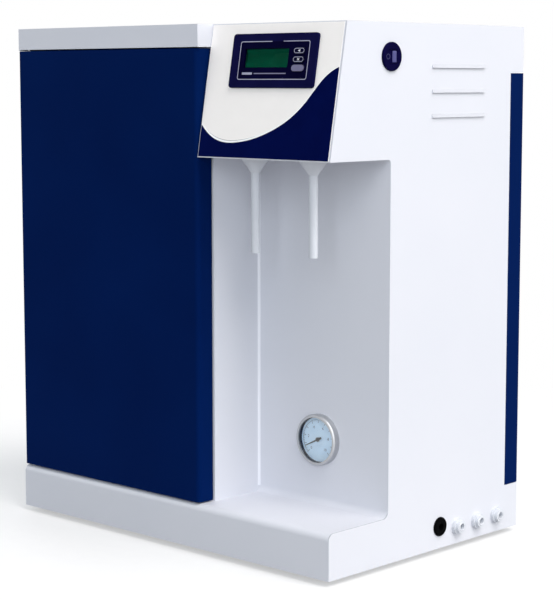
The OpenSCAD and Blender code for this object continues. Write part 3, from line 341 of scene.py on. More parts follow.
# %% Lay the floor
FLOOR_HUB, FLOOR_RADIUS = 0.05, 6.0
FLOOR_SIDES, FLOOR_RINGS = 96, 24
angle, radius = np.meshgrid(np.linspace(0, 2 * np.pi, FLOOR_SIDES, endpoint=False),
                            np.geomspace(FLOOR_HUB, FLOOR_RADIUS, FLOOR_RINGS))
disc = np.stack([radius * np.cos(angle), radius * np.sin(angle), 0 * angle], -1)
cells = grid_faces(*angle.shape, wrap=True).tolist() + [list(range(FLOOR_SIDES))]
new_piece("floor", disc, cells, floor_card())
print("floor radius", FLOOR_RADIUS)

# %% [markdown]
# ## Painted sheet metal
# Powder paint is sprayed on dry and baked. It melts into a satin film with a faint orange-peel ripple about
# a millimetre wide, and its colour clouds very slightly across a panel. Two noises give both: one at the
# size of the ripple drives relief and gloss, and one as wide as a hand drives the colour.

# %% Cabinet and door paint
RIPPLE, RIPPLE_DEEP = 0.0011, 0.00002
PANEL_CLOUDS = 0.14
PAINT_SHINIER, PAINT_DULLER = 0.05, 0.08


def powder_paint(name, dark, light, shine, gloss):
    """Satin baked paint between two close colours; shine is the strength of its reflection."""
    mat = new_finish(name, {"Specular IOR Level": shine})
    ripple = grain(mat, RIPPLE)
    tint(mat, grain(mat, PANEL_CLOUDS), dark, light)
    roughen(mat, ripple, gloss - PAINT_SHINIER, gloss + PAINT_DULLER)
    emboss(mat, ripple, RIPPLE_DEEP)
    return mat


WHITE = (0.650, 0.664, 0.720), (0.668, 0.678, 0.732)
BLUE = (0.0003, 0.0088, 0.066), (0.0005, 0.0108, 0.077)
finishes = {
    "white_paint": powder_paint("cabinet_white", *WHITE, shine=0.35, gloss=0.42),
    "blue_paint": powder_paint("door_blue", *BLUE, shine=0.01, gloss=0.45),
}
print("paints:", list(finishes))

# %% [markdown]
# ## Dust and painted shade on ledges
# What looks upwards and is seldom wiped, like the cabinet's top and the hoods of its louvres, gathers a film
# of dust that dulls the paint. The same grey is also painted shade: it darkens these upward faces, which the
# high lamps light most, so that the top and the hoods don't wash out to white. It could be painted as an
# image, but the surface itself knows where it goes: the upward part of its normal gives the share, and a soft
# noise makes it cloudy. The deck of the bay is wiped whenever water is drawn, so it stays clean.

# %% Dusty paint and painted shade
# DUST_AND_SHADE is one grey for the dust and for the painted shade that darkens upward faces.
DUST_AND_SHADE = (0.38, 0.39, 0.425, 1)
DUST_AND_SHADE_FROM, DUST_AND_SHADE_FULL = 0.1, 0.6
DUST_AND_SHADE_CLOUDS = 0.06


def dusted(mat, most):
    """Dust and painted shade over the paint: the share is the upward part of the normal times a cloud of about
    most.
    """
    paint = mat.node_tree.nodes["Principled BSDF"].inputs["Base Color"].links[0].from_socket
    normal = add(mat, "NewGeometry").outputs["Normal"]
    upward = add(mat, "SeparateXYZ", {"Vector": normal}).outputs["Z"]
    lying = add(mat, "MapRange", {"Value": upward, "From Min": DUST_AND_SHADE_FROM, "From Max": DUST_AND_SHADE_FULL})
    cloud = add(mat, "MapRange", {"Value": grain(mat, DUST_AND_SHADE_CLOUDS, 4.0),
                                  "To Min": 0.5 * most, "To Max": 1.5 * most})
    share = add(mat, "Math", {0: lying.outputs["Result"], 1: cloud.outputs["Result"]}, operation="MULTIPLY")
    # The grey is laid over the paint as dust and as painted shade on the upward faces.
    dust_and_shade_coat = add(mat, "Mix", {0: share.outputs[0], 6: paint, 7: DUST_AND_SHADE}, data_type="RGBA")
    wire(mat, "Base Color", dust_and_shade_coat.outputs[2])
    return mat


# The top and the louvred side panel are darkened where they face up, partly by dust, partly as painted shade.
dust_and_shade_paints = {
    "top_cover": dusted(powder_paint("top_white_dust_and_shade", *WHITE, shine=0.06, gloss=0.6), most=0.3),
    "right_side_panel": dusted(powder_paint("side_white_dust_and_shade", *WHITE, shine=0.35, gloss=0.42), most=0.65),
}
print("dust on", list(dust_and_shade_paints))

# %% [markdown]
# ## Mouldings, rubber and print film
# Moulded plastic carries the fine spark texture of its tool, and rubber is the dullest of all. A noise in
# relief and roughness, mostly a fraction of a millimetre wide, tells them apart from paint. First come the
# pieces on the outside and the door's catch.

# %% Plastics and rubber outside
TOOL_DEEP = 0.00002
MOULD_CLOUDS = 0.02
MOULD_SHINIER, MOULD_DULLER = 0.06, 0.08
MATT = {"Specular IOR Level": 0.01}
SATIN = {"Specular IOR Level": 0.2}


def moulding(name, dark, light, grain_size, gloss, sockets=None, relief=TOOL_DEEP):
    """Moulded plastic between two close colours with a tool texture of grain_size metres."""
    mat = new_finish(name, sockets or {})
    spark = grain(mat, grain_size)
    tint(mat, grain(mat, MOULD_CLOUDS), dark, light)
    roughen(mat, spark, gloss - MOULD_SHINIER, gloss + MOULD_DULLER)
    emboss(mat, spark, relief)
    return mat


outside = {
    "rubber": moulding("foot_rubber", (0.018, 0.018, 0.02), (0.03, 0.03, 0.032), 0.0006, 0.75),
    "magnet": moulding("catch_case", (0.015, 0.015, 0.016), (0.03, 0.03, 0.032), 0.0005, 0.55),
    "label": moulding("label_film", (0.965, 0.925, 0.895), (0.985, 0.945, 0.915), 0.0004, 0.4,
                      {"Specular IOR Level": 0.8}, 0.000006),
    "bezel_plastic": moulding("bezel_moulding", (0.0012, 0.0010, 0.016), (0.0018, 0.0015, 0.022),
                              0.0004, 0.4, MATT),
    "key": moulding("key_moulding", (0.15, 0.14, 0.24), (0.18, 0.17, 0.28), 0.0004, 0.4, SATIN),
    "switch_plastic": moulding("switch_moulding", (0.0015, 0.001, 0.022), (0.003, 0.002, 0.034),
                               0.0004, 0.4, MATT),
    "white_plastic": moulding("outlet_polymer", (0.62, 0.64, 0.69), (0.65, 0.67, 0.72),
                              0.0006, 0.4, SATIN),
    "black_plastic": moulding("gland_nylon", (0.0010, 0.0010, 0.0013), (0.0022, 0.0022, 0.0026),
                              0.0005, 0.5, MATT),
}
finishes |= outside
print("mouldings outside:", list(outside))

# %% [markdown]
# Behind the door there are milky cartridges and columns, a dark pump, a green circuit board and blue tubes.
# The tubes let some light through, which the shader's transmission gives. The gauge's dial is enamel, with
# far less relief than the plastics.

# %% Plastics inside, and the dial
inside = {
    "filter_plastic": moulding("cartridge_polymer", (0.74, 0.77, 0.80), (0.80, 0.82, 0.84), 0.0008, 0.3),
    "column_plastic": moulding("column_polymer", (0.55, 0.64, 0.74), (0.63, 0.70, 0.78), 0.0008, 0.25),
    "pump_plastic": moulding("pump_moulding", (0.03, 0.03, 0.034), (0.05, 0.05, 0.055), 0.0006, 0.5),
    "board": moulding("solder_mask", (0.012, 0.10, 0.045), (0.02, 0.15, 0.07), 0.0007, 0.35),
    "tube": moulding("tube_polymer", (0.35, 0.52, 0.70), (0.42, 0.58, 0.74), 0.002, 0.25,
                     {"Transmission Weight": 0.35, "IOR": 1.35}),
    "dial": moulding("dial_enamel", (0.60, 0.80, 0.99), (0.66, 0.84, 1.0), 0.0005, 0.35,
                     {"Specular IOR Level": 0.3}, 0.000004),
}
finishes |= inside
print("mouldings inside:", list(inside))

# %% [markdown]
# ## Metal and glass
# The gauge's ring is satin chrome, which spreads what it mirrors, so its haze is strong. Plated steel has a
# drawn grain: the same noise stretched a hundred times along one axis. Glass is clear, and its look comes
# from what it reflects.

# %% Chrome, steel, lacquer and glass
HAZE_DARK = 0.93
SMEAR = 0.012


def bare_metal(name, colour, low, high, size, relief, stretch=(1, 1, 1)):
    """Metal whose haze follows a noise, drawn out into a grain by stretch."""
    mat = new_finish(name, {"Metallic": 1.0})
    haze = grain(mat, size, 3.0, stretch)
    tint(mat, haze, [HAZE_DARK * c for c in colour], colour)
    roughen(mat, haze, low, high)
    emboss(mat, haze, relief)
    return mat


def clear(name, colour, index):
    """Clear glass or acrylic with a faint smear in its gloss."""
    mat = new_finish(name, {"Base Color": (*colour, 1), "Transmission Weight": 1.0, "IOR": index})
    roughen(mat, grain(mat, SMEAR, 3.0), 0.01, 0.05)
    return mat


hard = {
    "chrome": bare_metal("satin_chrome", (0.52, 0.53, 0.55), 0.42, 0.56, 0.004, 0.000002),
    "steel": bare_metal("plated_steel", (0.56, 0.57, 0.58), 0.28, 0.46, 0.0004, 0.000004, (1, 100, 1)),
    "gauge_black": moulding("gauge_lacquer", (0.006, 0.006, 0.007), (0.012, 0.012, 0.013), 0.0006, 0.3),
    "motor_paint": powder_paint("motor_lacquer", (0.025, 0.026, 0.03), (0.035, 0.036, 0.04), 0.4, 0.4),
    "window": clear("window_acrylic", (0.80, 0.94, 0.86), 1.05),
    "gauge_glass": clear("gauge_glass", (0.97, 0.985, 1.0), 1.45),
}
finishes |= hard
print("metal, lacquer and glass:", list(hard))

# %% [markdown]
# ## Measuring along the leaning head
# The head's front leans back by about ten degrees, so its print is drawn flat, as across and up in
# millimetres, and then carried to the slope. The keys slide square into that face, so the axis of a key's
# joint gives its normal, and the head's lower left corner gives the start. How far a solid reaches across,
# up and out is read from its own points, which is surer than typing the numbers again.

# %% Carry a flat drawing to the head
press = next(j for j in frame["joints"] if j["name"] == "upper_key_press")
OUT = -np.array(press["axis"])
UP = np.array([0, OUT[2], -OUT[1]])
SLOPE = np.array([[1, 0, 0], UP, OUT])
CORNER = np.array(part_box("head_panel")[0])


def on_head(across, up, lift):
    """Corner plus across along X, up along the slope and lift along its normal, all in millimetres."""
    return CORNER + MM * np.stack(np.broadcast_arrays(across, up, lift), -1) @ SLOPE


def reach(node):
    """The least and the largest across, up and lift of a node's points, in millimetres, as (2, 3)."""
    mesh = frame["nodes"][node].data
    points = np.empty(3 * len(mesh.vertices), np.float32)
    mesh.vertices.foreach_get("co", points)
    flat = (points.reshape(-1, 3) - CORNER) @ SLOPE.T / MM
    return np.array([flat.min(0), flat.max(0)])


LABEL_FACE, BEZEL_FACE, KEY_FACE = (reach(n)[1, 2] for n in ("head_label", "display_bezel", "upper_key"))
print("faces stand out by", [round(float(f), 2) for f in (LABEL_FACE, BEZEL_FACE, KEY_FACE)], "mm")

# %% [markdown]
# ## Display glass
# A small liquid-crystal panel shows rows of character cells as slightly darker boxes, even with nothing
# written. They are part of the panel, not a thing on it, so they belong in its material. A Brick texture
# lays the boxes, after a Mapping node has turned Object coordinates into across and up on the head.

# %% Display panel
CELL_START = (54.0, 90.6)
CELL_ACROSS, CELL_UP = 3.55 * MM, 8.4 * MM
CELL_GAP, GAP_SOFT = 0.35 * MM, 0.2


def display_panel(name, cell, gap):
    """Green panel with boxes CELL_ACROSS by CELL_UP, parted by lines of the brighter gap colour."""
    mat = new_finish(name, MATT)
    tilt = math.atan2(-UP[2], UP[1])
    shift = -on_head(*CELL_START, 0) @ SLOPE.T
    place = add(mat, "TexCoord").outputs["Object"]
    flat = add(mat, "Mapping", {"Vector": place, "Rotation": (tilt, 0, 0), "Location": shift})
    boxes = add(mat, "TexBrick", {
        "Vector": flat.outputs["Vector"], "Color1": (*cell, 1), "Color2": (*cell, 1), "Mortar": (*gap, 1),
        "Scale": 1.0, "Mortar Size": CELL_GAP, "Mortar Smooth": GAP_SOFT,
        "Brick Width": CELL_ACROSS, "Row Height": CELL_UP}, offset=0.0)
    wire(mat, "Base Color", boxes.outputs["Color"])
    roughen(mat, grain(mat, 0.0005), 0.42, 0.58)
    return mat


finishes["display"] = display_panel("display_green", (0.0009, 0.067, 0.040), (0.0011, 0.078, 0.047))
print("display cells of", CELL_ACROSS / MM, "by", CELL_UP / MM, "mm")

# %% [markdown]
# ## Finishes on the solids
# Each solid names its material slot in the record, so one loop dresses all of them. Four solids differ from
# their slot: two panels carry dust and painted shade on what faces up, and two keys are darker than the third,
# because their print is an outline on black and not a filled patch.

# %% Dress the solids
dark_key = moulding("dark_key_moulding", (0.002, 0.002, 0.016), (0.003, 0.003, 0.022), 0.0004, 0.4, MATT)
special = {"upper_key": dark_key, "middle_key": dark_key, **dust_and_shade_paints}
for part in frame["record"]["subparts"]:
    solid = frame["nodes"][part["node"]]
    solid.data.materials.clear()
    solid.data.materials.append(special.get(part["node"], finishes[part["material_slot"]]))
print("finishes:", len(finishes), "on", len(frame["nodes"]), "solids,", len(special), "of them special")

# %% [markdown]
# ## Printed films
# The label, the bezel and the keys are printed. Print could be a picture in a material, but then its edges
# would be as coarse as the picture. Here each colour is the strip between two flat curves, a few hundredths
# of a millimetre thick, so that it has real edges and never flickers with the face under it.

# %% Lines and ink
INK = 0.06
INK_GRAIN, INK_GLOSS, INK_DEEP = 0.0003, 0.45, 0.000003


def sideways(path, distance):
    """A flat path (n, 2), each point moved by distance along the normal of the chord of its neighbours."""
    chord = np.gradient(path, axis=0)
    normal = np.stack([-chord[:, 1], chord[:, 0]], 1) / np.linalg.norm(chord, axis=1, keepdims=True)
    return path + np.broadcast_to(distance, len(path))[:, None] * normal


def ribbon(path, width):
    """The two edges of a line of that width, or of those widths, along a flat path."""
    path = np.asarray(path, float)
    half = np.asarray(width, float) / 2
    return np.stack([sideways(path, half), sideways(path, -half)])


def film(piece, towards):
    """Turns a flat piece to face a direction and makes it a closed film of INK millimetres."""
    if np.dot(piece.data.polygons[0].normal, towards) < 0:
        piece.data.flip_normals()
    wall = piece.modifiers.new("film", "SOLIDIFY")
    wall.thickness = INK * MM
    wall.offset = 1
    return piece


def printed(name, edges, lift, mat, body="cabinet"):
    """Ink on the head between flat curves, given as rows of points (rows, n, 2)."""
    edges = np.asarray(edges, float)
    points = on_head(edges[..., 0], edges[..., 1], lift)
    piece = new_piece(name, points, grid_faces(*edges.shape[:2]), mat)
    return attach(film(piece, OUT), body)


def ink(name, dark, light, sockets=MATT):
    """Flat screen ink: a moulding's colour play with hardly any relief."""
    return moulding(name, dark, light, INK_GRAIN, INK_GLOSS, sockets, INK_DEEP)


print("ink is", INK, "mm thick")

# %% [markdown]
# ## Two-tone label
# The label is cream above and navy below. The line between the colours falls from the left edge, turns, and
# climbs to the right edge, with a white band along it that thins out as it climbs. Such a line is drawn in a
# print shop as a few points joined by smooth curves, and here it is the same: seven stations, each with a
# height and a slope, and between two of them the cubic that keeps both.

# %% Colour line
SWEEP = np.array([[1, 33.0, -0.95], [20, 19.75, -0.42], [46, 15.7, 0.05], [100, 29.4, 0.46],
                  [136, 54.6, 1.05], [156, 78.0, 1.0], [175, 90.2, 0.38]])
LINE_POINTS = 141


def sweep(across):
    """Height of the colour line: the cubic between two stations that keeps both heights and both slopes."""
    at, height, slope = SWEEP.T
    i = np.clip(np.searchsorted(at, across) - 1, 0, len(at) - 2)
    span = at[i + 1] - at[i]
    u = (across - at[i]) / span
    return ((1 + 2 * u) * (1 - u) ** 2 * height[i] + u * (1 - u) ** 2 * span * slope[i]
            + u ** 2 * (3 - 2 * u) * height[i + 1] + u ** 2 * (u - 1) * span * slope[i + 1])


across = np.linspace(SWEEP[0, 0], SWEEP[-1, 0], LINE_POINTS)
line = np.stack([across, sweep(across)], 1)
print("line from", line[0].round(1), "to", line[-1].round(1), "mm, lowest", line[:, 1].min().round(1))

# %% [markdown]
# Three films lie along that line: the navy field from the label's foot up to it, the white band above it, and
# a grey pinstripe on the band's upper edge, which swells and thins like a pen stroke.

# %% Navy field, white band and pinstripe
LABEL_FOOT = 1.0
BAND_AT, BAND_WIDE = [1, 25, 80, 150, 175], [1.5, 2.4, 1.7, 1.0, 0.5]
STRIPE_FROM, STRIPE_TO, STRIPE_WIDE, STRIPE_END = 6, 78, 0.45, 0.15
navy_ink = ink("navy_ink", (0.0003, 0.0027, 0.046), (0.0004, 0.0035, 0.054))
white_ink = ink("white_ink", (0.965, 0.97, 0.975), (0.98, 0.985, 0.99), {"Specular IOR Level": 0.6})
grey_ink = ink("grey_ink", (0.34, 0.35, 0.33), (0.40, 0.41, 0.39))

foot = np.stack([across, np.full_like(across, LABEL_FOOT)], 1)
over = sideways(line, np.interp(across, BAND_AT, BAND_WIDE))
striped = (across > STRIPE_FROM) & (across < STRIPE_TO)
stroke = STRIPE_WIDE * np.sin(np.linspace(STRIPE_END, np.pi - STRIPE_END, striped.sum()))
printed("navy_field", [foot, line], LABEL_FACE, navy_ink)
printed("white_band", [line, over], LABEL_FACE, white_ink)
printed("pinstripe", ribbon(over[striped], stroke), LABEL_FACE + INK / 2, grey_ink)
print("band up to", max(BAND_WIDE), "mm wide, stripe over", striped.sum(), "points")

# %% [markdown]
# ## Display frame
# The bezel is one dark moulding with a lighter frame round its rim. The frame could be a bevelled box with a
# hole, but it is simpler as a profile carried round a rounded rectangle: up the side, over the edge and in
# to the border. Each step of the profile is the same loop, drawn a little smaller, at its own height.

# %% Frame
BEZEL_LOW, BEZEL_HIGH = reach("display_bezel")[:, :2]
BORDER_LOW, BORDER_HIGH = np.array([45.4, 78.0]), np.array([136.6, 115.0])
BEZEL_ROUND, BORDER_ROUND, ROUND_STEPS = 3.0, 2.0, 9
FRAME_GROW, FRAME_EASE = 0.25, 0.2


def rounded_loop(low, high, radius):
    """A rectangle with quarter circles for corners: four centres plus radius times a turning direction."""
    turn = np.pi / 2 * (np.arange(4)[:, None] + np.linspace(0, 1, ROUND_STEPS))
    sign = np.array([[1, 1], [-1, 1], [-1, -1], [1, -1]])
    centre = (low + high) / 2 + sign * ((high - low) / 2 - radius)
    return (centre[:, None] + radius * np.stack([np.cos(turn), np.sin(turn)], -1)).reshape(-1, 2)


def frame_skin(mat):
    """Loops between the bezel's outline and the border line, each at its own height, closed into a ring."""
    bezel = [rounded_loop(BEZEL_LOW - grow, BEZEL_HIGH + grow, BEZEL_ROUND + grow)
             for grow in (0, FRAME_GROW / 2, FRAME_GROW)]
    border = rounded_loop(BORDER_LOW, BORDER_HIGH, BORDER_ROUND)
    steps = [(bezel[2], LABEL_FACE), (bezel[2], BEZEL_FACE - FRAME_EASE),
             (bezel[1], BEZEL_FACE + FRAME_GROW / 2), (border, BEZEL_FACE + INK), (border, BEZEL_FACE - INK),
             (bezel[0], BEZEL_FACE - INK), (bezel[0], LABEL_FACE), (bezel[2], LABEL_FACE)]
    rows = np.stack([on_head(*loop.T, lift) for loop, lift in steps])
    piece = new_piece("bezel_frame", rows, grid_faces(*rows.shape[:2], wrap=True), mat)
    seal(piece)
    return attach(piece, "cabinet")


frame_skin(moulding("frame_moulding", (0.0036, 0.0037, 0.036), (0.0052, 0.0052, 0.046), 0.0004, 0.35, MATT))
print("bezel", (BEZEL_HIGH - BEZEL_LOW).round(2), "border", BORDER_HIGH - BORDER_LOW, "mm")

# %% [markdown]
# A thin pale line parts the frame from the panel, open for a short way at the top, and two plain bars lie
# below the display. All are ribbons of ink along a path.

# %% Border line and plain bars
BORDER_GAP, BORDER_LINE = (87.0, 102.0), 0.8
BARS_UP = 83.7
pale_ink = ink("pale_ink", (0.36, 0.36, 0.48), (0.42, 0.42, 0.54))
dim_ink = ink("dim_ink", (0.18, 0.17, 0.27), (0.22, 0.21, 0.32))
bars = {"short_bar": ((51.0, 64.5), 2.2, pale_ink), "long_bar": ((67.0, 109.5), 1.1, dim_ink)}

loop = rounded_loop(BORDER_LOW, BORDER_HIGH, BORDER_ROUND)
loop = np.roll(loop, -ROUND_STEPS, axis=0)
gap_ends = [[end, BORDER_HIGH[1]] for end in BORDER_GAP]
border = np.vstack([gap_ends[:1], loop, gap_ends[1:]])
printed("border_line", ribbon(border, BORDER_LINE), BEZEL_FACE + INK, pale_ink)
for name, (ends, width, colour) in bars.items():
    printed(name, ribbon([[end, BARS_UP] for end in ends], width), BEZEL_FACE, colour)
print("border of", len(border), "points and", list(bars))

# %% [markdown]
# ## Key marks
# The two upper keys carry an oval outline and a simple sign in pale ink: a wedge and a cross. They could be
# letters of a font, but a wedge is just a line whose width grows along its length, a cross is two lines, and
# the oval is a rounded rectangle whose radius is half its height. Each rides on its key, so it is pressed
# with it.

# %% Signs on the keys
OVAL, OVAL_LINE = np.array([12.6, 4.4]), 0.55
WEDGE = [([[-1.6, 0], [1.3, 0]], [0.1, 2.6])]
CROSS = [([[-1.2, -1.1], [1.2, 1.1]], 0.7), ([[-1.2, 1.1], [1.2, -1.1]], 0.7)]
bright_ink = ink("bright_ink", (0.66, 0.66, 0.70), (0.74, 0.74, 0.78))
for which, sign in {"upper": WEDGE, "middle": CROSS}.items():
    middle = reach(which + "_key")[:, :2].mean(0)
    oval = rounded_loop(middle - OVAL / 2, middle + OVAL / 2, OVAL[1] / 2)
    oval = np.vstack([oval, oval[:2]])
    printed(which + "_key_oval", ribbon(oval, OVAL_LINE), KEY_FACE, pale_ink, "key_" + which)
    for i, (path, width) in enumerate(sign):
        printed(f"{which}_key_sign_{i}", ribbon(middle + path, width), KEY_FACE, bright_ink, "key_" + which)
    print(which, "key is marked at", middle.round(2), "mm")

# %% [markdown]
# ## Rocker marks
# A rocker's two faces slope up from the pivot to both ends, and the switch rests tipped to one side. Its
# marks could be modelled level and turned as objects, but a finished piece has to stay unturned. Here they
# are drawn flat on the paddle, lifted to the slope of their face and turned about the pivot as points.

# %% Carry a flat drawing to the rocker
tip = next(j for j in frame["joints"] if j["name"] == "rocker_tilt")
PIVOT = np.array(tip["pos_m"])
TIPPED = math.radians(tip["range_deg"][1] / 2)
PADDLE_DIP, PADDLE_SLOPE = 3.6, 2.4 / 19


def on_rocker(along, across, lift):
    """Paddle height, which grows with the distance along from the pivot, plus lift; then a turn by TIPPED."""
    height = PADDLE_DIP + PADDLE_SLOPE * np.abs(along) + lift
    back = along * math.cos(TIPPED) - height * math.sin(TIPPED)
    out = along * math.sin(TIPPED) + height * math.cos(TIPPED)
    return PIVOT + MM * np.stack(np.broadcast_arrays(out, back, across), -1)


print("rocker tipped", math.degrees(TIPPED), "degrees about", PIVOT.round(4))

# %% [markdown]
# The rear face has a raised lens, which lights up when power is on. It is a low cushion, so its height is a
# formula on a square grid: nearly flat in the middle and falling quickly to the rim. A sunk copy of the grid
# closes it below, and a strip round the rim joins the two.

# %% Lens
LENS_FROM, LENS_TO, LENS_HALF = 0.7, 5.3, 5.4
LENS_CROWN, LENS_SINK, LENS_STEPS, LENS_POWER = 0.45, 0.15, 21, 6


def lens_skin():
    """Height LENS_CROWN times (1 - u to the sixth) times (1 - v to the sixth), a floor below, and a rim."""
    u, v = np.meshgrid(np.linspace(-1, 1, LENS_STEPS), np.linspace(-1, 1, LENS_STEPS))
    crown = LENS_CROWN * (1 - u ** LENS_POWER) * (1 - v ** LENS_POWER)
    along = (LENS_FROM + LENS_TO) / 2 + v * (LENS_TO - LENS_FROM) / 2
    shells = np.stack([on_rocker(along, u * LENS_HALF, lift) for lift in (crown, -LENS_SINK)])
    rim = np.concatenate([shells[:, 0], shells[:, 1:, -1], shells[:, -1, -2::-1], shells[:, -2:0:-1, 0]], 1)
    faces = repeated(grid_faces(*u.shape), 2, u.size)
    rim_faces = grid_faces(2, rim.shape[1], wrap=True) + 2 * u.size
    return np.concatenate([shells.reshape(-1, 3), rim.reshape(-1, 3)]), np.vstack([faces, rim_faces])


lens_mat = moulding("rocker_lens", (0.05, 0.05, 0.17), (0.075, 0.075, 0.22), 0.0005, 0.3, SATIN)
rocker_lens = new_piece("rocker_lens", *lens_skin(), lens_mat)
seal(rocker_lens)
attach(rocker_lens, "rocker")
print("lens", LENS_TO - LENS_FROM, "by", 2 * LENS_HALF, "mm, crowned by", LENS_CROWN)

# %% [markdown]
# The front face has a printed ring for off: two circles on the slope, and ink between them.

# %% Off ring
RING_AT, RING_RADII, RING_STEPS = -5.0, (2.1, 2.6), 41
off_ink = ink("off_ink", (0.05, 0.05, 0.12), (0.07, 0.07, 0.15))
turn = np.linspace(0, 2 * np.pi, RING_STEPS)
ring = on_rocker(RING_AT + np.outer(RING_RADII, np.cos(turn)), np.outer(RING_RADII, np.sin(turn)), 0.0)
off_ring = new_piece("off_ring", ring, grid_faces(2, RING_STEPS), off_ink)
attach(film(off_ring, (1, 0, 0)), "rocker")
print("ring of", [2 * r for r in RING_RADII], "mm")

# %% [markdown]
# ## Gauge scale
# A pressure gauge sweeps three quarters of a circle, clockwise from the lower left. Fifty steps are marked,
# every fifth one longer, with an arc behind them. Copying one tick round the dial would do as well, but here
# all ticks are one array of small rectangles set out by angle.

# %% Ticks and arc
DIAL_LOW, DIAL_HIGH = (np.array(c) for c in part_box("gauge_dial"))
DIAL_FACE = np.array([(DIAL_LOW[0] + DIAL_HIGH[0]) / 2, DIAL_LOW[1], (DIAL_LOW[2] + DIAL_HIGH[2]) / 2])
FORWARD = (0, -1, 0)
START, SWING, STEPS, LONG_EVERY = math.radians(225), math.radians(270), 50, 5
SCALE_R, LONG_TICK, SHORT_TICK = 20.6, (3.4, 0.28), (1.8, 0.14)
ARC_WIDE, ARC_STEPS = 0.3, 91


def on_dial(right, up):
    """The middle of the dial's face plus right along X and up along Z, in millimetres."""
    return DIAL_FACE + MM * np.stack([right, 0 * right, up], -1)


scale_ink = ink("scale_ink", (0.10, 0.15, 0.24), (0.14, 0.19, 0.28))
step = np.arange(STEPS + 1)[:, None]
angle = START - SWING * step / STEPS
spoke, side = np.hstack([np.cos(angle), np.sin(angle)]), np.hstack([-np.sin(angle), np.cos(angle)])
tall, half = np.hsplit(np.where(step % LONG_EVERY == 0, LONG_TICK, SHORT_TICK), 2)
inner, outer = spoke * (SCALE_R - tall), spoke * SCALE_R
ticks = np.stack([inner - side * half, outer - side * half, outer + side * half, inner + side * half], 1)
tick_faces = np.arange(4 * len(ticks)).reshape(-1, 4)
scale_ticks = new_piece("scale_ticks", on_dial(ticks[..., 0], ticks[..., 1]), tick_faces, scale_ink)
attach(film(scale_ticks, FORWARD), "cabinet")

turn = START - SWING * np.linspace(0, 1, ARC_STEPS)
radii = (SCALE_R - ARC_WIDE, SCALE_R)
arc = on_dial(np.outer(radii, np.cos(turn)), np.outer(radii, np.sin(turn)))
scale_arc = new_piece("scale_arc", arc, grid_faces(2, ARC_STEPS), scale_ink)
attach(film(scale_arc, FORWARD), "cabinet")
print(len(ticks), "ticks over", math.degrees(SWING), "degrees")

# %% [markdown]
# Every second long mark has a number. Digits drawn by hand would be many curves, so they are text, turned
# into a mesh whose flat points are then moved to the dial like any other drawing.

# %% Numbers
NUMBER_R, NUMBER_SIZE = 13.6, 4.2
SCALE_END, NUMBER_EVERY = 10, 2


def numeral(text, size):
    """A number as a flat mesh: its points (n, 2) about their middle, and its faces."""
    curve = bpy.data.curves.new("numeral", "FONT")
    curve.body = text
    curve.size = size
    holder = bpy.data.objects.new("numeral", curve)
    bpy.context.scene.collection.objects.link(holder)
    bpy.context.view_layer.update()
    finished = holder.evaluated_get(bpy.context.evaluated_depsgraph_get())
    mesh = bpy.data.meshes.new_from_object(finished)
    flat = np.empty(3 * len(mesh.vertices), np.float32)
    mesh.vertices.foreach_get("co", flat)
    flat = flat.reshape(-1, 3)[:, :2].astype(float)
    faces = [list(p.vertices) for p in mesh.polygons]
    bpy.data.objects.remove(holder)
    bpy.data.curves.remove(curve)
    bpy.data.meshes.remove(mesh)
    return flat - (flat.min(0) + flat.max(0)) / 2, faces


flats, cells = [], []
for value in range(0, SCALE_END + 1, NUMBER_EVERY):
    flat, drawn = numeral(str(value), NUMBER_SIZE)
    towards = START - SWING * value / SCALE_END
    cells += [[corner + sum(map(len, flats)) for corner in cell] for cell in drawn]
    flats.append(flat + NUMBER_R * np.array([math.cos(towards), math.sin(towards)]))
flats = np.vstack(flats)
numbers = new_piece("scale_numbers", on_dial(flats[:, 0], flats[:, 1]), cells, scale_ink)
attach(film(numbers, FORWARD), "cabinet")
print(len(flats), "points in the numbers")

# %% [markdown]
# ## Turned pieces
# Screws, collets and rings are turned shapes: a profile of radius and height, carried round an axis. A Screw
# modifier could turn them too. As arrays, their points can still be pushed in or out by angle, as a screw's
# recess needs. One helper gives the points, and one makes a sealed piece of them.

# %% Carry a profile round an axis
RING_SIDES = 96


def lathe(profile, axis, steps=48):
    """Rings round an axis through the origin: at each (radius, height), radius times a turning direction."""
    axis = np.asarray(axis, float)
    right = np.roll(axis, 1)
    forward = np.cross(axis, right)
    turn = np.linspace(0, 2 * np.pi, steps, endpoint=False)[:, None]
    ring = np.cos(turn) * right + np.sin(turn) * forward
    radius, height = np.asarray(profile, float).T[..., None, None]
    return radius * ring + height * axis


def turned(name, points, mat):
    """A sealed piece on the cabinet from the rings of a lathe."""
    piece = new_piece(name, points, grid_faces(*points.shape[:2], wrap=True), mat)
    seal(piece)
    return attach(piece, "cabinet")


print("a profile of 5 points gives rings of shape", lathe([(1, 0)] * 5, (0, 0, 1)).shape)

# %% [markdown]
# ## Gauge gasket and painted shade
# A dark rubber ring sits between the dial and the glass and keeps damp out. Its near-black colour also stands
# for the shade inside the chrome lip: it is hidden by the lip except where one looks in at an angle, and there
# it shows as a dark crescent of painted shade. A dark patch on the dial would stay in place as the view moves,
# so a closed four-sided profile is turned round the dial's axis.

# %% Gasket
GASKET_IN, GASKET_OUT, GASKET_TALL = 22.95, 23.5, 3.15
GASKET = [(GASKET_IN, 0), (GASKET_IN, GASKET_TALL), (GASKET_OUT, GASKET_TALL), (GASKET_OUT, 0),
          (GASKET_IN, 0)]
# The gasket's near-black is the rubber and the painted shade inside the chrome lip in one.
gasket_rubber_and_shade = moulding("gasket_rubber_and_shade", (0.010, 0.018, 0.040), (0.016, 0.026, 0.052), 0.0006, 0.6, SATIN)
turned("gauge_gasket_and_shade", DIAL_FACE + MM * lathe(GASKET, FORWARD, RING_SIDES), gasket_rubber_and_shade)
print("gasket", 2 * GASKET_IN, "to", 2 * GASKET_OUT, "mm")

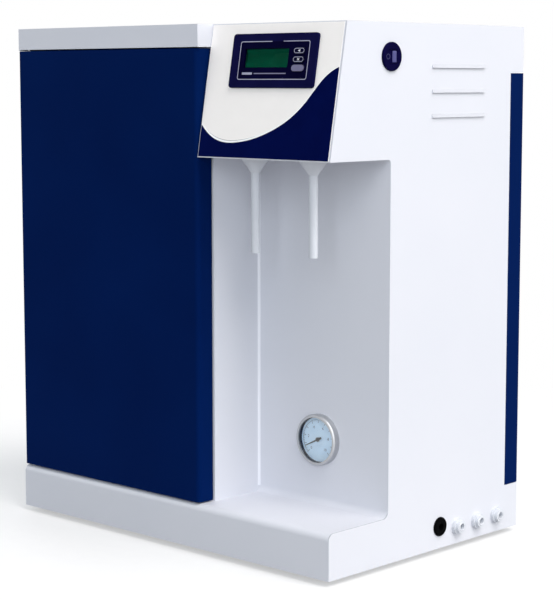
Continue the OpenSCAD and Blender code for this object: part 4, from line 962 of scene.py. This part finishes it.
# %% [markdown]
# ## Rear screws
# Six pan-head screws hold the rear cover. Their heads are low domes with a cross recess. The dome is turned.
# The recess could be cut with a Boolean, but a smooth pit is cleaner: its depth is the larger of two crossed
# slots, so a driver would really fit.

# %% Pan head with a cross recess
HEAD_R, HEAD_H, SHANK_R, SHANK_L = 4.0, 1.8, 2.0, 7.0
DOME_IN, DOME_DROP, DOME_STEPS = 0.4, 0.45, 25
EASE_IN, EASE_DOWN, RIM_DOWN = 0.1, 0.7, 1.1
SLOT_W, SLOT_L, SLOT_DEEP, SLOT_EDGE, SLOT_BELOW = 1.1, 4.6, 1.2, 0.3, 0.6
HEAD_SIDES = 80


def soft_step(value):
    """0 below zero, 1 above SLOT_EDGE, with a smooth climb between."""
    t = np.clip(value / SLOT_EDGE, 0, 1)
    return t * t * (3 - 2 * t)


def pan_screw():
    """Dome, rim and shank turned round Y, less a cross-shaped pit that is the larger of two slots."""
    dome_r = np.linspace(0, HEAD_R - DOME_IN, DOME_STEPS)
    dome = np.stack([dome_r, HEAD_H - DOME_DROP * (dome_r / HEAD_R) ** 2], 1)
    rim = [(HEAD_R - EASE_IN, HEAD_H - EASE_DOWN), (HEAD_R, HEAD_H - RIM_DOWN), (HEAD_R, 0)]
    shank = [(SHANK_R, 0), (SHANK_R, -SHANK_L), (0, -SHANK_L)]
    points = lathe(np.vstack([dome, rim, shank]), (0, 1, 0), HEAD_SIDES)
    x, z = np.abs(points[..., 0]), np.abs(points[..., 2])
    slots = [soft_step(SLOT_W / 2 - a) * soft_step(SLOT_L / 2 - b) for a, b in ((x, z), (z, x))]
    on_top = points[..., 1] > HEAD_H - SLOT_BELOW
    points[..., 1] -= SLOT_DEEP * np.maximum(*slots) * on_top
    return points


screw = pan_screw()
print("screw head", 2 * HEAD_R, "mm, grid", screw.shape[:2])

# %% [markdown]
# The six screws are one piece, because they share one finish and never move. Their places come from the box
# of the plain screws that they replace.

# %% Set the screws
low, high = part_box("cover_screws")
spot_x = np.linspace(low.x / MM + HEAD_R, high.x / MM - HEAD_R, 3)
spot_z = (low.z / MM + HEAD_R, high.z / MM - HEAD_R)
spots = np.array([(x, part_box("rear_cover")[1].y / MM, z) for x in spot_x for z in spot_z])
screw_points = MM * (screw + spots[:, None, None, :])
screw_cells = repeated(grid_faces(*screw.shape[:2], wrap=True), len(spots), screw[..., 0].size)
pan_screws = new_piece("pan_screws", screw_points, screw_cells, finishes["steel"])
seal(pan_screws)
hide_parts("cover_screws")
attach(pan_screws, "cabinet")
print(len(spots), "screws")

# %% [markdown]
# ## Corner bead in the bay
# Where the bay's side wall meets its back wall, a thin bead of sealant keeps splashes out of the cabinet. Its
# concave face catches the light as one pale upright line, and its paint is paler than the walls', a painted
# highlight that makes the line brighter still. A painted line alone would not catch light, so the bead is a
# profile with one hollow side, and the rest sunk in the walls, carried straight up.

# %% Bead
BEAD_R, BEAD_SINK, BEAD_STEPS = 2.2, 0.4, 13
BEAD_FOOT, BEAD_HEAD = 6, 0.5
wall_low, wall_high = (np.array(c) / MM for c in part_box("bay_side_wall"))
wall_x, back_y = wall_high[:2]
bead_ends = wall_low[2] + BEAD_FOOT, CORNER[2] / MM - BEAD_HEAD
bow = np.linspace(np.pi / 2, np.pi, BEAD_STEPS)
hollow = np.stack([wall_x + BEAD_R + BEAD_R * np.cos(bow), back_y - BEAD_R + BEAD_R * np.sin(bow)], 1)
sunk = [[wall_x - BEAD_SINK, back_y - BEAD_R], [wall_x - BEAD_SINK, back_y + BEAD_SINK],
        [wall_x + BEAD_R, back_y + BEAD_SINK]]
outline = np.vstack([hollow, sunk])
count = len(outline)
bead_points = MM * np.stack([np.column_stack([outline, np.full(count, z)]) for z in bead_ends])
bead_cells = grid_faces(2, count, wrap=True).tolist() + np.arange(2 * count).reshape(2, -1).tolist()
# Paler than the cabinet white: a painted highlight along the bead.
bead_highlight_paint = powder_paint("bead_sealant_highlight", (0.80, 0.81, 0.86), (0.82, 0.83, 0.88), 0.4, 0.35)
bay_bead = new_piece("bay_bead", bead_points, bead_cells, bead_highlight_paint)
seal(bay_bead)
attach(bay_bead, "cabinet")
print("bead from", bead_ends[0].round(2), "to", bead_ends[1].round(2), "mm")

# %% [markdown]
# ## Collets in the ports
# A push-in port grips its tube with a collet, whose rim shows as a small ring round the bore. A torus would
# be too round for it, so the ring is turned round X from a closed profile with rounded lips.

# %% Collet rings
COLLET = [(3.3, -0.1), (3.3, 0.25), (3.5, 0.45), (4.7, 0.45), (4.9, 0.25), (4.9, -0.1), (3.3, -0.1)]
collet_grey = moulding("collet_acetal", (0.58, 0.60, 0.65), (0.64, 0.66, 0.70), 0.0004, 0.35)
for port in ("feed_port", "drain_port", "tank_port"):
    low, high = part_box(port)
    mouth = np.array([high.x, (low.y + high.y) / 2, (low.z + high.z) / 2])
    turned(port + "_collet", mouth + MM * lathe(COLLET, (1, 0, 0)), collet_grey)
    print(port, "collet at", mouth.round(4))

# %% [markdown]
# ## Cartridges behind the door
# Filter cartridges are told apart by a coloured band. It could be a ring of colour in the material, but a
# printed sleeve has an edge that catches light, so it is a thin turned ring, sunk a little into the body.

# %% Coloured bands
WRAP_UP, WRAP_TALL, WRAP_THICK, WRAP_SINK = 150, 34, 0.25, 0.1
COLLAR_PROUD = 3
WRAP_DARK, WRAP_LIGHT = 0.9, 1.1


def cartridge(node):
    """Its foot, its head, the radius of its collar and a point on its axis, in millimetres."""
    low, high = (np.array(c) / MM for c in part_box(node))
    middle = np.array([(low[0] + high[0]) / 2, (low[1] + high[1]) / 2, 0])
    return low[2], high[2], (high[0] - low[0]) / 2, middle


def colour_band(node, colour):
    """A closed four-sided profile round the body, from just inside its wall to WRAP_THICK outside."""
    foot, _, collar_r, middle = cartridge(node)
    r0, r1 = collar_r - COLLAR_PROUD - WRAP_SINK, collar_r - COLLAR_PROUD + WRAP_THICK
    z0, z1 = foot + WRAP_UP, foot + WRAP_UP + WRAP_TALL
    points = MM * (middle + lathe([(r0, z0), (r1, z0), (r1, z1), (r0, z1), (r0, z0)], (0, 0, 1), RING_SIDES))
    dark, light = ([k * c for c in colour] for k in (WRAP_DARK, WRAP_LIGHT))
    return turned(node + "_band", points, ink(node + "_ink", dark, light, SATIN))


print("bands", WRAP_TALL, "mm tall")

# %% [markdown]
# The collars of the cartridges are ribbed to be turned by hand. Ribs could be many small boxes, but a
# moulded rib runs softly into the next. So the grip is a turned ring too, whose radius rises and falls with
# the angle.

# %% Bands and ribbed grips
COLLAR_DOWN, COLLAR_TALL = 24, 12
RIBS, RIB_TALL, RIB_STEPS = 36, 1.0, 8
GRIP_SINK, GRIP_END, RIB_END, GRIP_OUT = 1, 0.4, 1.6, 0.1
RIBBED = np.array([0, 0, 1, 1, 0, 0, 0])[:, None]


def ribbed_grip(node):
    """A ring round the collar whose two outer rows swing in by RIB_TALL times half of one minus a cosine."""
    _, head, collar_r, middle = cartridge(node)
    z0, z1 = head - COLLAR_DOWN, head - COLLAR_DOWN + COLLAR_TALL
    rows = [(-GRIP_SINK, z0 + GRIP_END), (0, z0 + GRIP_END), (RIB_TALL, z0 + RIB_END),
            (RIB_TALL, z1 - RIB_END), (0, z1 - GRIP_END), (-GRIP_SINK, z1 - GRIP_END),
            (-GRIP_SINK, z0 + GRIP_END)]
    points = lathe([(collar_r + out, z) for out, z in rows], (0, 0, 1), RIB_STEPS * RIBS)
    turn = np.linspace(0, 2 * np.pi, RIB_STEPS * RIBS, endpoint=False)
    inwards = RIBBED * RIB_TALL * (0.5 - 0.5 * np.cos(RIBS * turn)) - GRIP_OUT
    radial = points[..., :2] / np.linalg.norm(points[..., :2], axis=-1, keepdims=True)
    points[..., :2] -= inwards[..., None] * radial
    return turned(node + "_grip", MM * (middle + points), finishes["filter_plastic"])


bands = {"sediment_filter": (0.05, 0.20, 0.46), "carbon_filter": (0.10, 0.10, 0.11),
         "scale_filter": (0.06, 0.30, 0.18)}
for node, colour in bands.items():
    colour_band(node, colour)
    ribbed_grip(node)
print("bands and grips on", list(bands))
